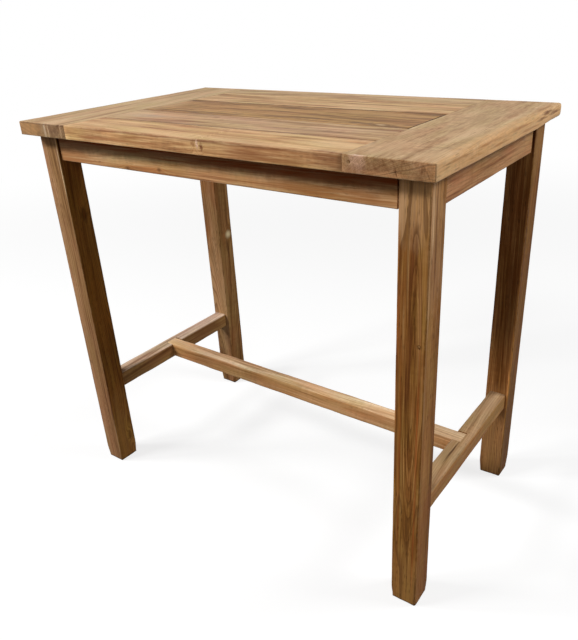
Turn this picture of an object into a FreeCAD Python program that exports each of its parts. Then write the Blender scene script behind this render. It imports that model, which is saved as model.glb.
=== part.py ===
import FreeCAD, Part
import math
import os
import re

import Sketcher
from FreeCAD import Vector

# A solid teak bar table: a top of five long boards between two end boards, four square legs,
# four aprons and an H-shaped stretcher. Millimetres, +Z up, origin on the floor under the
# middle of the top, +X along the length, and -Y towards the long side called the front.

# Driving dimensions

SIZES = {
    # The table as a whole
    "table_height": 1110,
    "top_length": 1200,
    "top_width": 720,
    "end_overhang": 24,
    "front_overhang": 37,
    "fit_clearance": 0.15,
    "cut_overrun": 1,
    # The top boards
    "top_thickness": 35,
    "end_board_width": 190,
    "seam_gap": 0.8,
    "seam_chamfer": 0.9,
    "top_rounding": 3.5,
    # The loose splines that line up the boards along their seams
    "spline_thickness": 8,
    "spline_width": 26,
    "spline_room": 1,
    "spline_stop": 25,
    # The tongues on the boards' ends, the grooves of the end boards and the pegs through both
    "tongue_thickness": 12,
    "tongue_length": 30,
    "groove_room": 1.5,
    "groove_stop": 22,
    "tongue_side_room": 3,
    "peg_diameter": 9,
    "peg_bite": 5,
    "peg_travel": 4,
    # The legs
    "leg_size": 67,
    "leg_arris": 2.5,
    "foot_chamfer": 4,
    # The aprons and their mitred, haunched tenons
    "apron_height": 70,
    "apron_thickness": 24,
    "apron_setback": 7,
    "apron_arris": 1.5,
    "tenon_thickness": 10,
    "tenon_shoulder": 9,
    "haunch_height": 18,
    "haunch_length": 12,
    "mitre_gap": 1,
    # The stretchers, their tenons and the stopped half laps that join them
    "stretcher_top_height": 304,
    "stretcher_height": 50,
    "stretcher_width": 48,
    "stretcher_setback": 7,
    "stretcher_arris": 2,
    "stretcher_tenon_thickness": 18,
    "stretcher_tenon_length": 40,
    "stretcher_shoulder": 8,
    "mortise_room": 2,
    "centre_stretcher_width": 44,
    "centre_stretcher_height": 48,
    "lap_length": 27,
    "lap_depth": 24,
    "lap_peg_bite": 14,
    # The flat rails under the boards, dovetailed into the tops of the long aprons
    "rail_width": 60,
    "rail_thickness": 25,
    "rail_arris": 1.5,
    "tail_thickness": 14,
    "tail_length": 15,
    "tail_neck_width": 38,
    "tail_end_width": 50,
    # The corner braces glued between the aprons
    "brace_thickness": 22,
    "brace_height": 45,
    "brace_top_gap": 3,
    "brace_leg_gap": 3,
    # The buttons that hold the end boards down on the end aprons
    "button_length": 42,
    "button_width": 30,
    "button_height": 20,
    "button_arris": 1.5,
    "button_gap": 1.5,
    "button_lip_length": 10,
    "button_lip_thickness": 9,
    "button_slot_room": 1.5,
    # The screws that hold the buttons to the end boards
    "screw_radius": 2.2,
    "screw_clearance": 0.1,
    "screw_head_radius": 4.6,
    "screw_head_height": 3,
    "screw_bite": 14,
    "screw_tip_room": 1,
}

# The long boards from front to rear, and the share of the top's width that each one takes. They
# are sawn from old timber in whatever widths it gives, and the set is planed to fill the top.
FIELD_NAMES = ("front", "front_middle", "centre", "rear_middle", "rear")
FIELD_WIDTH_SHARES = (0.18, 0.19, 0.267, 0.211, 0.152)
# The rails under the boards, placed by shares of the length between the legs
RAIL_NAMES = ("left", "middle", "right")
RAIL_PLACE_SHARES = (-0.285, 0, 0.285)
# The buttons of one end, placed by shares of the depth between the legs
BUTTON_PLACE_SHARES = (-0.195, 0.195)
# How far apart two things may be and still count as the same place when an edge is looked up
SAME_PLACE_SHARE = 1e-5

doc = FreeCAD.newDocument("BarTable")
sheet = doc.addObject("Spreadsheet::Sheet", "Sizes")
for row, (size_name, size) in enumerate(SIZES.items(), start=1):
    sheet.set(f"A{row}", size_name)
    sheet.set(f"B{row}", str(size))
    sheet.setAlias(f"B{row}", size_name)
doc.recompute()

# Lengths and places that follow from the driving dimensions, written as formulas

TOP_UNDERSIDE = "(table_height - top_thickness)"
FIELD_LENGTH = "(top_length - 2 * end_board_width)"
LEG_FACE_X = "(top_length / 2 - end_overhang)"
LEG_FACE_Y = "(top_width / 2 - front_overhang)"
LEG_CENTRE_X = f"({LEG_FACE_X} - leg_size / 2)"
LEG_CENTRE_Y = f"({LEG_FACE_Y} - leg_size / 2)"
CLEAR_LENGTH = f"(2 * {LEG_FACE_X} - 2 * leg_size)"
CLEAR_DEPTH = f"(2 * {LEG_FACE_Y} - 2 * leg_size)"
APRON_BOTTOM = f"({TOP_UNDERSIDE} - apron_height)"
APRON_MIDDLE_INSET = "(apron_setback + apron_thickness / 2)"
APRON_INNER_X = f"({LEG_FACE_X} - apron_setback - apron_thickness)"
APRON_INNER_Y = f"({LEG_FACE_Y} - apron_setback - apron_thickness)"
STRETCHER_BOTTOM = "(stretcher_top_height - stretcher_height)"
STRETCHER_INNER_X = f"({LEG_FACE_X} - stretcher_setback - stretcher_width)"
LAP_FLOOR = "(stretcher_height - lap_depth)"
TONGUE_BOTTOM = "(top_thickness / 2 - tongue_thickness / 2)"
SPLINE_BOTTOM = "(top_thickness / 2 - spline_thickness / 2)"
PEG_LENGTH = "(top_thickness / 2 + tongue_thickness / 2 + peg_bite)"
PEG_HOLE = "(peg_diameter / 2 + fit_clearance)"
SHANK_HOLE = "(screw_radius + screw_clearance)"
SCREW_LENGTH = "(button_height + screw_bite)"
PILOT_DEPTH = "(screw_bite + screw_tip_room)"
LAP_PEG_LENGTH = f"({LAP_FLOOR} + lap_peg_bite)"
BRACE_SETOUT = "(leg_size - apron_setback - apron_thickness)"
BRACE_BOTTOM = f"({TOP_UNDERSIDE} - brace_top_gap - brace_height)"
BUTTON_SCREW_X = "(button_length / 2)"
BUTTON_PLACES = [f"({share} * {CLEAR_DEPTH})" for share in BUTTON_PLACE_SHARES]
RAIL_PLACES = [f"({share} * {CLEAR_LENGTH})" for share in RAIL_PLACE_SHARES]

# The long boards' widths, the seams before and after them, and their middles

FIELD_WIDTHS = [f"({share} * top_width)" for share in FIELD_WIDTH_SHARES]
SEAMS = ["(-top_width / 2)"]
for width in FIELD_WIDTHS:
    SEAMS.append(f"({SEAMS[-1]} + {width})")
FIELD_MIDDLES = [f"({seam} + {width} / 2)" for seam, width in zip(SEAMS, FIELD_WIDTHS)]

# Helpers that draw with formulas

SIZE_WORD = re.compile(r"\b(" + "|".join(SIZES) + r")\b")
PLANE_ACROSS = {"X": "YZ_Plane", "Y": "XZ_Plane", "Z": "XY_Plane"}


def tied(formula):
    """The formula as an expression that reads its sizes from the sheet."""
    return SIZE_WORD.sub(r"Sizes.\1", formula)


def value(formula):
    """What the formula comes to now."""
    return float(sheet.evalExpression(tied(formula)))


def new_body(name):
    """A body for one wooden piece, named as the piece is."""
    body = doc.addObject("PartDesign::Body", name)
    body.Label = name
    return body


def place(piece, x, y, z, turn=0):
    """Set a piece in the table: where its own origin goes, and its turn about Z in degrees."""
    for axis, formula in zip("xyz", (x, y, z)):
        piece.setExpression(f"Placement.Base.{axis}", tied(formula))
    piece.Placement = FreeCAD.Placement(
        Vector(value(x), value(y), value(z)), FreeCAD.Rotation(Vector(0, 0, 1), turn)
    )


def sketch_across(body, name, axis, level):
    """A sketch square to one of the body's axes, at a level along it."""
    sketch = body.newObject("Sketcher::SketchObject", name)
    planes = {feature.Role: feature for feature in body.Origin.OriginFeatures}
    sketch.AttachmentSupport = [(planes[PLANE_ACROSS[axis]], "")]
    sketch.MapMode = "FlatFace"
    # The XZ plane's normal is -Y
    sign = "-" if axis == "Y" else ""
    sketch.setExpression("AttachmentOffset.Base.z", tied(f"{sign}({level})"))
    return sketch


def dimension(sketch, kind, formula, *ends):
    """One dimension of a sketch, bound to its formula."""
    number = sketch.addConstraint(Sketcher.Constraint(kind, *ends, value(formula)))
    sketch.setExpression(f"Constraints[{number}]", tied(formula))


def pin_point(sketch, geometry, vertex, u, v):
    """Dimension one point of a sketch from the sketch's origin."""
    dimension(sketch, "DistanceX", u, -1, 1, geometry, vertex)
    dimension(sketch, "DistanceY", v, -1, 1, geometry, vertex)


def draw_outline(sketch, corners):
    """A closed outline of straight lines through corners given as pairs of formulas."""
    points = [Vector(value(u), value(v), 0) for u, v in corners]
    first = sketch.GeometryCount
    for start, end in zip(points, points[1:] + points[:1]):
        sketch.addGeometry(Part.LineSegment(start, end), False)
    for index in range(len(corners)):
        following = first + (index + 1) % len(corners)
        sketch.addConstraint(Sketcher.Constraint("Coincident", first + index, 2, following, 1))
    for index, (u, v) in enumerate(corners):
        pin_point(sketch, first + index, 1, u, v)


def draw_rectangle(sketch, u, v):
    """A rectangle between the pair of formulas u across and the pair v up."""
    draw_outline(sketch, [(u[0], v[0]), (u[1], v[0]), (u[1], v[1]), (u[0], v[1])])


def draw_circle(sketch, u, v, radius):
    """A circle about the point u, v."""
    circle = Part.Circle(Vector(value(u), value(v), 0), Vector(0, 0, 1), value(radius))
    number = sketch.addGeometry(circle, False)
    pin_point(sketch, number, 3, u, v)
    dimension(sketch, "Radius", radius, number)


def draw_slot(sketch, u, v, radius, travel):
    """A round-ended slot about the point u, v, whose centres lie travel apart along v."""
    low = f"({v} - {travel} / 2)"
    high = f"({v} + {travel} / 2)"
    up = Vector(0, 0, 1)
    arcs = []
    for centre, start in ((low, math.pi), (high, 0)):
        circle = Part.Circle(Vector(value(u), value(centre), 0), up, value(radius))
        arcs.append(sketch.addGeometry(Part.ArcOfCircle(circle, start, start + math.pi), False))
    sides = []
    for arc, other in ((arcs[0], arcs[1]), (arcs[1], arcs[0])):
        start = sketch.Geometry[arc].EndPoint
        end = sketch.Geometry[other].StartPoint
        sides.append(sketch.addGeometry(Part.LineSegment(start, end), False))
    for arc, other, side in ((arcs[0], arcs[1], sides[0]), (arcs[1], arcs[0], sides[1])):
        sketch.addConstraint(Sketcher.Constraint("Tangent", arc, 2, side, 1))
        sketch.addConstraint(Sketcher.Constraint("Tangent", side, 2, other, 1))
    pin_point(sketch, arcs[0], 3, u, low)
    pin_point(sketch, arcs[1], 3, u, high)
    dimension(sketch, "Radius", radius, arcs[0])


def pad(body, sketch, axis, length):
    """Raise a sketch into wood, towards the plus side of its axis."""
    feature = body.newObject("PartDesign::Pad", f"{sketch.Name}_pad")
    feature.Profile = sketch
    feature.setExpression("Length", tied(length))
    feature.Reversed = axis == "Y"
    return feature


def pocket(body, sketch, axis, length):
    """Cut a sketch out of the wood, towards the plus side of its axis."""
    feature = body.newObject("PartDesign::Pocket", f"{sketch.Name}_pocket")
    feature.Profile = sketch
    feature.setExpression("Length", tied(length))
    feature.Reversed = axis != "Y"
    return feature


def add_block(body, name, x, y, z):
    """Add a square block between three pairs of formulas."""
    sketch = sketch_across(body, name, "Z", z[0])
    draw_rectangle(sketch, x, y)
    return pad(body, sketch, "Z", f"({z[1]}) - ({z[0]})")


def cut_block(body, name, x, y, z):
    """Cut a square recess between three pairs of formulas."""
    sketch = sketch_across(body, name, "Z", z[0])
    draw_rectangle(sketch, x, y)
    return pocket(body, sketch, "Z", f"({z[1]}) - ({z[0]})")


def cut_bores(body, name, axis, places, radius, level, length):
    """Cut round holes at the places of one sketch, from a level along an axis."""
    sketch = sketch_across(body, name, axis, level)
    for u, v in places:
        draw_circle(sketch, u, v, radius)
    return pocket(body, sketch, axis, length)


def edges_where(feature, test):
    """The names of a feature's straight edges that pass a test of two ends."""
    doc.recompute()
    names = []
    for number, edge in enumerate(feature.Shape.Edges, start=1):
        ends = [vertex.Point for vertex in edge.Vertexes]
        if len(ends) == 2 and test(*ends):
            names.append(f"Edge{number}")
    return names


def near(first, second):
    """Whether two coordinates are the same place on a table of this size."""
    return abs(first - second) < value("top_length") * SAME_PLACE_SHARE


def dress(body, kind, feature, size, test):
    """Round or chamfer the edges of the last feature that pass a test."""
    dressed = body.newObject(f"PartDesign::{kind}", f"{body.Name}_{kind}_{len(body.Group)}")
    dressed.Base = (feature, edges_where(feature, test))
    dressed.setExpression("Radius" if kind == "Fillet" else "Size", tied(size))
    return dressed


def runs_along(axis, start, end):
    """Whether an edge runs along x, y or z."""
    others = [letter for letter in "xyz" if letter != axis]
    return all(near(getattr(start, letter), getattr(end, letter)) for letter in others)


# The boards of the field


def make_field_board(index):
    """A long board with a tongue at each end and spline grooves in its seams."""
    name = FIELD_NAMES[index]
    width = FIELD_WIDTHS[index]
    first = index == 0
    last = index == len(FIELD_NAMES) - 1
    low = "0" if first else "(seam_gap / 2)"
    high = width if last else f"({width} - seam_gap / 2)"
    half = f"({FIELD_LENGTH} / 2)"
    body = new_body(f"top_board_{name}")
    block = add_block(body, f"{name}_blank", (f"-{half}", half), (low, high), ("0", "top_thickness"))

    def is_seam(start, end):
        on_top = near(start.z, value("top_thickness"))
        at_seam = (not first and near(start.y, value(low))) or (not last and near(start.y, value(high)))
        return on_top and at_seam and runs_along("x", start, end)

    def is_rim(start, end):
        at_rim = (first and near(start.y, 0)) or (last and near(start.y, value(high)))
        on_top = near(start.z, value("top_thickness"))
        return at_rim and on_top and runs_along("x", start, end)

    def is_shoulder(start, end):
        return near(start.z, value("top_thickness")) and runs_along("y", start, end)

    eased = dress(body, "Chamfer", block, "seam_chamfer", is_seam)
    if first or last:
        eased = dress(body, "Fillet", eased, "top_rounding", is_rim)
    dress(body, "Chamfer", eased, "seam_chamfer", is_shoulder)

    tongue_end = f"({half} + tongue_length)"
    tongue_low = "(groove_stop + tongue_side_room)" if first else low
    tongue_high = f"({width} - groove_stop - tongue_side_room)" if last else high
    tongue_level = (TONGUE_BOTTOM, f"({TONGUE_BOTTOM} + tongue_thickness)")
    add_block(body, f"{name}_tongue", (f"-{tongue_end}", tongue_end), (tongue_low, tongue_high), tongue_level)

    groove_end = f"({half} - spline_stop)"
    groove_depth = "(spline_width / 2 + spline_room)"
    groove_level = (SPLINE_BOTTOM, f"({SPLINE_BOTTOM} + spline_thickness + fit_clearance)")
    if not first:
        cut_block(body, f"{name}_front_groove", (f"-{groove_end}", groove_end), ("0", groove_depth), groove_level)
    if not last:
        rear_groove = (f"({width} - {groove_depth})", width)
        cut_block(body, f"{name}_rear_groove", (f"-{groove_end}", groove_end), rear_groove, groove_level)

    # The middle board is pegged in round holes and stays put; the others slide in slots
    sketch = sketch_across(body, f"{name}_peg_slots", "Z", "0")
    for side in ("-", ""):
        x = f"({side}({half} + tongue_length / 2))"
        if name == "centre":
            draw_circle(sketch, x, f"({width} / 2)", PEG_HOLE)
        else:
            draw_slot(sketch, x, f"({width} / 2)", PEG_HOLE, "peg_travel")
    pocket(body, sketch, "Z", "top_thickness")

    place(body, "0", SEAMS[index], TOP_UNDERSIDE)
    return body


# The end boards


def make_end_board(side, turn, hand):
    """A board across the field's ends, grooved for the tongues; hand mirrors its peg places."""
    body = new_body(f"end_board_{side}")
    half = "(top_width / 2)"
    block = add_block(
        body, f"end_{side}_blank", ("0", "end_board_width"), (f"-{half}", half), ("0", "top_thickness")
    )

    def is_rim(start, end):
        outer = near(start.x, value("end_board_width")) and near(end.x, start.x)
        on_top = near(start.z, value("top_thickness")) and near(end.z, start.z)
        upright = outer and runs_along("z", start, end)
        return upright or (on_top and (outer or runs_along("x", start, end)))

    def is_joint(start, end):
        at_joint = near(start.x, 0) and near(end.x, 0)
        return at_joint and near(start.z, value("top_thickness")) and near(end.z, start.z)

    rounded = dress(body, "Fillet", block, "top_rounding", is_rim)
    dress(body, "Chamfer", rounded, "seam_chamfer", is_joint)

    groove_end = f"({half} - groove_stop)"
    cut_block(
        body,
        f"end_{side}_groove",
        ("0", "(tongue_length + groove_room)"),
        (f"-{groove_end}", groove_end),
        (f"({TONGUE_BOTTOM} - fit_clearance)", f"({TONGUE_BOTTOM} + tongue_thickness + fit_clearance)"),
    )
    pegs = [("(tongue_length / 2)", f"({hand} * {middle})") for middle in FIELD_MIDDLES]
    cut_bores(body, f"end_{side}_peg_holes", "Z", pegs, PEG_HOLE, "0", PEG_LENGTH)
    screw_x = f"({APRON_INNER_X} - {FIELD_LENGTH} / 2 - {BUTTON_SCREW_X})"
    pilots = [(screw_x, y) for y in BUTTON_PLACES]
    cut_bores(body, f"end_{side}_pilots", "Z", pilots, SHANK_HOLE, "0", PILOT_DEPTH)
    place(body, f"({hand} * {FIELD_LENGTH} / 2)", "0", TOP_UNDERSIDE, turn)
    return body


# The splines in the seams


def make_spline(index):
    """A loose strip that lies half in each of the two boards beside a seam."""
    name = f"seam_spline_{FIELD_NAMES[index]}"
    body = new_body(name)
    half_length = f"({FIELD_LENGTH} / 2 - spline_stop - fit_clearance)"
    add_block(
        body,
        f"{name}_strip",
        (f"-{half_length}", half_length),
        ("(-spline_width / 2)", "(spline_width / 2)"),
        ("0", "spline_thickness"),
    )
    place(body, "0", SEAMS[index + 1], f"({TOP_UNDERSIDE} + {SPLINE_BOTTOM})")
    return body


# The legs


def make_leg(name, hand, x, y, turn):
    """A square leg whose inner faces are +Y and, by its hand, +X or -X; its origin is its foot."""
    body = new_body(name)
    half = "(leg_size / 2)"
    block = add_block(body, f"{name}_blank", (f"-{half}", half), (f"-{half}", half), ("0", TOP_UNDERSIDE))
    foot = dress(body, "Chamfer", block, "foot_chamfer", lambda start, end: near(start.z, 0) and near(end.z, 0))
    dress(body, "Fillet", foot, "leg_arris", lambda start, end: runs_along("z", start, end))

    # The two apron mortises meet in the middle of the leg; each reaches the other's far wall
    low = f"({APRON_MIDDLE_INSET} - {half} - tenon_thickness / 2 - fit_clearance)"
    high = f"({APRON_MIDDLE_INSET} - {half} + tenon_thickness / 2 + fit_clearance)"
    level = (
        f"({APRON_BOTTOM} + tenon_shoulder - fit_clearance)",
        f"({TOP_UNDERSIDE} - haunch_height + fit_clearance)",
    )
    inward = (f"({hand} * {low})", f"({hand} * ({half} + cut_overrun))")
    across = (f"({hand} * {low})", f"({hand} * {high})")
    cut_block(body, f"{name}_long_mortise", inward, (low, high), level)
    cut_block(body, f"{name}_end_mortise", across, (low, f"({half} + cut_overrun)"), level)
    # Above each mortise a shallow notch, open at the top, takes the haunch
    notch_level = (f"({TOP_UNDERSIDE} - haunch_height)", f"({TOP_UNDERSIDE} + cut_overrun)")
    notch_floor = f"({half} - haunch_length - fit_clearance)"
    long_notch = (f"({hand} * {notch_floor})", f"({hand} * ({half} + cut_overrun))")
    cut_block(body, f"{name}_long_notch", long_notch, (low, high), notch_level)
    cut_block(body, f"{name}_end_notch", across, (notch_floor, f"({half} + cut_overrun)"), notch_level)

    middle = f"(stretcher_setback + stretcher_width / 2 - {half})"
    thick = "(stretcher_tenon_thickness / 2 + fit_clearance)"
    cut_block(
        body,
        f"{name}_stretcher_mortise",
        (f"({hand} * {middle} - {thick})", f"({hand} * {middle} + {thick})"),
        (f"({half} - stretcher_tenon_length - mortise_room)", f"({half} + cut_overrun)"),
        (
            f"({STRETCHER_BOTTOM} + stretcher_shoulder - fit_clearance)",
            "(stretcher_top_height - stretcher_shoulder + fit_clearance)",
        ),
    )
    place(body, x, y, "0", turn)
    return body


# The aprons


def make_apron(name, clear, carries_rails, x, y, turn):
    """An apron with its outer face at its own y of zero, and a mitred tenon at each end."""
    body = new_body(name)
    half = f"({clear} / 2)"
    block = add_block(
        body, f"{name}_blank", (f"-{half}", half), ("0", "apron_thickness"), ("0", "apron_height")
    )
    dress(
        body,
        "Chamfer",
        block,
        "apron_arris",
        lambda start, end: near(start.z, 0) and runs_along("x", start, end),
    )

    tenon_low = "(apron_thickness / 2 - tenon_thickness / 2)"
    tenon_high = "(apron_thickness / 2 + tenon_thickness / 2)"
    reach = f"({half} + leg_size - {APRON_MIDDLE_INSET} - mitre_gap)"
    for side, end_name in (("-", "left"), ("", "right")):
        sketch = sketch_across(body, f"{name}_tenon_{end_name}", "Z", "tenon_shoulder")
        draw_outline(
            sketch,
            [
                (f"({side}{half})", tenon_low),
                (f"({side}({reach} + tenon_thickness / 2))", tenon_low),
                (f"({side}({reach} - tenon_thickness / 2))", tenon_high),
                (f"({side}{half})", tenon_high),
            ],
        )
        pad(body, sketch, "Z", "apron_height - tenon_shoulder - haunch_height")
        add_block(
            body,
            f"{name}_haunch_{end_name}",
            (f"({side}{half})", f"({side}({half} + haunch_length))"),
            (tenon_low, tenon_high),
            ("(apron_height - haunch_height)", "apron_height"),
        )

    if carries_rails:
        neck = "(tail_neck_width / 2 + fit_clearance)"
        wide = "(tail_end_width / 2 + fit_clearance)"
        socket_end = "(apron_thickness - tail_length - fit_clearance)"
        open_side = "(apron_thickness + cut_overrun)"
        for rail_name, rail_x in zip(RAIL_NAMES, RAIL_PLACES):
            sketch = sketch_across(body, f"{name}_socket_{rail_name}", "Z", "(apron_height - tail_thickness)")
            draw_outline(
                sketch,
                [
                    (f"({rail_x} - {wide})", socket_end),
                    (f"({rail_x} + {wide})", socket_end),
                    (f"({rail_x} + {neck})", "apron_thickness"),
                    (f"({rail_x} + {neck})", open_side),
                    (f"({rail_x} - {neck})", open_side),
                    (f"({rail_x} - {neck})", "apron_thickness"),
                ],
            )
            pocket(body, sketch, "Z", "tail_thickness + cut_overrun")
    else:
        slot_top = "(apron_height - button_height + button_lip_thickness)"
        slot_bottom = "(apron_height - button_height - button_slot_room)"
        for button_place, button_side in zip(BUTTON_PLACES, ("left", "right")):
            reach_out = "(button_width / 2 + button_slot_room)"
            cut_block(
                body,
                f"{name}_button_slot_{button_side}",
                (f"({button_place} - {reach_out})", f"({button_place} + {reach_out})"),
                (
                    "(apron_thickness - button_lip_length - button_slot_room)",
                    "(apron_thickness + cut_overrun)",
                ),
                (slot_bottom, slot_top),
            )

    place(body, x, y, APRON_BOTTOM, turn)
    return body


# The stretchers


def make_side_stretcher(side, x, turn):
    """A stretcher between the two legs of one end, its outer face at its own x of zero."""
    name = f"stretcher_{side}"
    body = new_body(name)
    half = f"({CLEAR_DEPTH} / 2)"
    block = add_block(
        body, f"{name}_blank", ("0", "stretcher_width"), (f"-{half}", half), ("0", "stretcher_height")
    )
    dress(body, "Chamfer", block, "stretcher_arris", lambda start, end: runs_along("y", start, end))
    tenon_end = f"({half} + stretcher_tenon_length)"
    add_block(
        body,
        f"{name}_tenons",
        (
            "(stretcher_width / 2 - stretcher_tenon_thickness / 2)",
            "(stretcher_width / 2 + stretcher_tenon_thickness / 2)",
        ),
        (f"-{tenon_end}", tenon_end),
        ("stretcher_shoulder", "(stretcher_height - stretcher_shoulder)"),
    )
    lap_side = "(centre_stretcher_width / 2 + fit_clearance)"
    cut_block(
        body,
        f"{name}_lap",
        ("(stretcher_width - lap_length)", "(stretcher_width + cut_overrun)"),
        (f"-{lap_side}", lap_side),
        (LAP_FLOOR, "(stretcher_height + cut_overrun)"),
    )
    peg = [("(stretcher_width - lap_length / 2)", "0")]
    cut_bores(body, f"{name}_peg_hole", "Z", peg, PEG_HOLE, "0", "stretcher_height")
    place(body, x, "0", STRETCHER_BOTTOM, turn)
    return body


def make_centre_stretcher():
    """The long stretcher, whose upper half runs on at each end into the side stretchers' laps."""
    body = new_body("stretcher_centre")
    half = STRETCHER_INNER_X
    side = "(centre_stretcher_width / 2)"
    block = add_block(
        body, "centre_blank", (f"-{half}", half), (f"-{side}", side), ("0", "centre_stretcher_height")
    )
    dress(body, "Chamfer", block, "stretcher_arris", lambda start, end: runs_along("x", start, end))
    lap_bottom = "(centre_stretcher_height - lap_depth)"
    lap_end = f"({half} + lap_length - fit_clearance)"
    add_block(
        body,
        "centre_laps",
        (f"-{lap_end}", lap_end),
        (f"-{side}", side),
        (lap_bottom, "centre_stretcher_height"),
    )
    pegs = [(f"({sign}({half} + lap_length / 2))", "0") for sign in ("-", "")]
    cut_bores(body, "centre_peg_holes", "Z", pegs, PEG_HOLE, lap_bottom, "lap_peg_bite")
    place(body, "0", "0", "(stretcher_top_height - centre_stretcher_height)")
    return body


# The rails under the boards


def make_rail(side, x):
    """A flat rail under the boards, with a lapped dovetail at each end."""
    name = f"cross_rail_{side}"
    body = new_body(name)
    half = "(rail_width / 2)"
    block = add_block(
        body,
        f"{name}_blank",
        (f"-{half}", half),
        (f"-{APRON_INNER_Y}", APRON_INNER_Y),
        ("0", "rail_thickness"),
    )
    dress(
        body,
        "Chamfer",
        block,
        "rail_arris",
        lambda start, end: near(start.z, 0) and runs_along("y", start, end),
    )
    neck = "(tail_neck_width / 2)"
    wide = "(tail_end_width / 2)"
    for sign, end_name in (("-", "front"), ("", "rear")):
        sketch = sketch_across(body, f"{name}_tail_{end_name}", "Z", "(rail_thickness - tail_thickness)")
        tail_root = f"({sign}{APRON_INNER_Y})"
        tail_end = f"({sign}({APRON_INNER_Y} + tail_length))"
        draw_outline(
            sketch,
            [(f"-{neck}", tail_root), (neck, tail_root), (wide, tail_end), (f"-{wide}", tail_end)],
        )
        pad(body, sketch, "Z", "tail_thickness")

    place(body, x, "0", f"({TOP_UNDERSIDE} - rail_thickness)")
    return body


# The corner braces


def make_brace(corner, x, y, turn):
    """A diagonal block between two aprons; its origin is the leg's inner corner."""
    name = f"corner_brace_{corner}"
    body = new_body(name)
    outer = f"(brace_leg_gap + {BRACE_SETOUT})"
    inner = f"({outer} + brace_thickness * sqrt(2))"
    sketch = sketch_across(body, f"{name}_plan", "Z", "0")
    draw_outline(
        sketch,
        [
            (outer, f"-{BRACE_SETOUT}"),
            (inner, f"-{BRACE_SETOUT}"),
            (f"-{BRACE_SETOUT}", inner),
            (f"-{BRACE_SETOUT}", outer),
        ],
    )
    pad(body, sketch, "Z", "brace_height")
    place(body, x, y, BRACE_BOTTOM, turn)
    return body


# The fasteners: one pattern of each, and groups of copies in their places


def make_button_pattern():
    """A stepped block: its lip goes into the apron's slot and its body under the end board."""
    body = new_body("button_pattern")
    sketch = sketch_across(body, "button_side", "Y", "(-button_width / 2)")
    draw_outline(
        sketch,
        [
            ("(-button_lip_length)", "0"),
            ("button_length", "0"),
            ("button_length", "button_height"),
            ("button_gap", "button_height"),
            ("button_gap", "button_lip_thickness"),
            ("(-button_lip_length)", "button_lip_thickness"),
        ],
    )
    block = pad(body, sketch, "Y", "button_width")
    dress(
        body,
        "Chamfer",
        block,
        "button_arris",
        lambda start, end: near(start.x, value("button_length")) and near(end.x, start.x),
    )
    cut_bores(body, "button_hole", "Z", [(BUTTON_SCREW_X, "0")], SHANK_HOLE, "0", "button_height")
    return body


def make_turned_pattern(name, profile):
    """A piece turned about Z from half of its section, given as radius and height formulas."""
    body = new_body(name)
    sketch = sketch_across(body, f"{name}_section", "Y", "0")
    draw_outline(sketch, profile)
    turned = body.newObject("PartDesign::Revolution", f"{name}_turned")
    turned.Profile = sketch
    turned.ReferenceAxis = (sketch, ["V_Axis"])
    turned.Angle = 360
    return body


def make_screw_pattern():
    """A wood screw pointing up, with its head's seat at zero."""
    profile = [
        ("0", "(-screw_head_height)"),
        ("screw_head_radius", "(-screw_head_height)"),
        ("screw_head_radius", "0"),
        ("screw_radius", "0"),
        ("screw_radius", SCREW_LENGTH),
        ("0", SCREW_LENGTH),
    ]
    return make_turned_pattern("screw_pattern", profile)


def make_peg_pattern(name, length):
    """A round wooden peg pointing up, with its trimmed end at zero."""
    body = new_body(name)
    sketch = sketch_across(body, f"{name}_end", "Z", "0")
    draw_circle(sketch, "0", "0", "(peg_diameter / 2)")
    pad(body, sketch, "Z", length)
    return body


UPRIGHT = FreeCAD.Rotation()
HALF_TURN = FreeCAD.Rotation(Vector(0, 0, 1), 180)


def make_group(name, pattern, seats):
    """Copies of a pattern at their seats, each a place in formulas and a rotation."""
    copies = []
    for number, (x, y, z, rotation) in enumerate(seats, start=1):
        copy = doc.addObject("App::Link", f"{name}_{number}")
        copy.LinkedObject = pattern
        copy.LinkTransform = False
        for axis, formula in zip("xyz", (x, y, z)):
            copy.setExpression(f"Placement.Base.{axis}", tied(formula))
        copy.Placement = FreeCAD.Placement(Vector(value(x), value(y), value(z)), rotation)
        copies.append(copy)
    group = doc.addObject("Part::Compound", name)
    group.Label = name
    group.Links = copies
    return group


def make_fasteners():
    """The pegs, buttons and button screws of the table."""
    groups = []
    end_peg = make_peg_pattern("end_peg_pattern", PEG_LENGTH)
    peg_x = f"({FIELD_LENGTH} / 2 + tongue_length / 2)"
    for side, sign in (("left", "-"), ("right", "")):
        seats = [(f"({sign}{peg_x})", y, TOP_UNDERSIDE, UPRIGHT) for y in FIELD_MIDDLES]
        groups.append(make_group(f"end_board_pegs_{side}", end_peg, seats))

    lap_peg = make_peg_pattern("lap_peg_pattern", LAP_PEG_LENGTH)
    lap_x = f"({STRETCHER_INNER_X} + lap_length / 2)"
    seats = [(f"({sign}{lap_x})", "0", STRETCHER_BOTTOM, UPRIGHT) for sign in ("-", "")]
    groups.append(make_group("stretcher_lap_pegs", lap_peg, seats))

    button_seats = []
    screw_seats = []
    button_level = f"({TOP_UNDERSIDE} - button_height)"
    for sign, rotation in (("-", UPRIGHT), ("", HALF_TURN)):
        for y in BUTTON_PLACES:
            button_seats.append((f"({sign}{APRON_INNER_X})", y, button_level, rotation))
            screw_x = f"({sign}({APRON_INNER_X} - {BUTTON_SCREW_X}))"
            screw_seats.append((screw_x, y, button_level, UPRIGHT))
    groups.append(make_group("top_buttons", make_button_pattern(), button_seats))
    groups.append(make_group("top_button_screws", make_screw_pattern(), screw_seats))
    return groups


# The whole table

pieces = [make_field_board(index) for index in range(len(FIELD_NAMES))]
pieces += [make_spline(index) for index in range(len(FIELD_NAMES) - 1)]
pieces += [make_end_board("right", 0, 1), make_end_board("left", 180, -1)]

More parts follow.
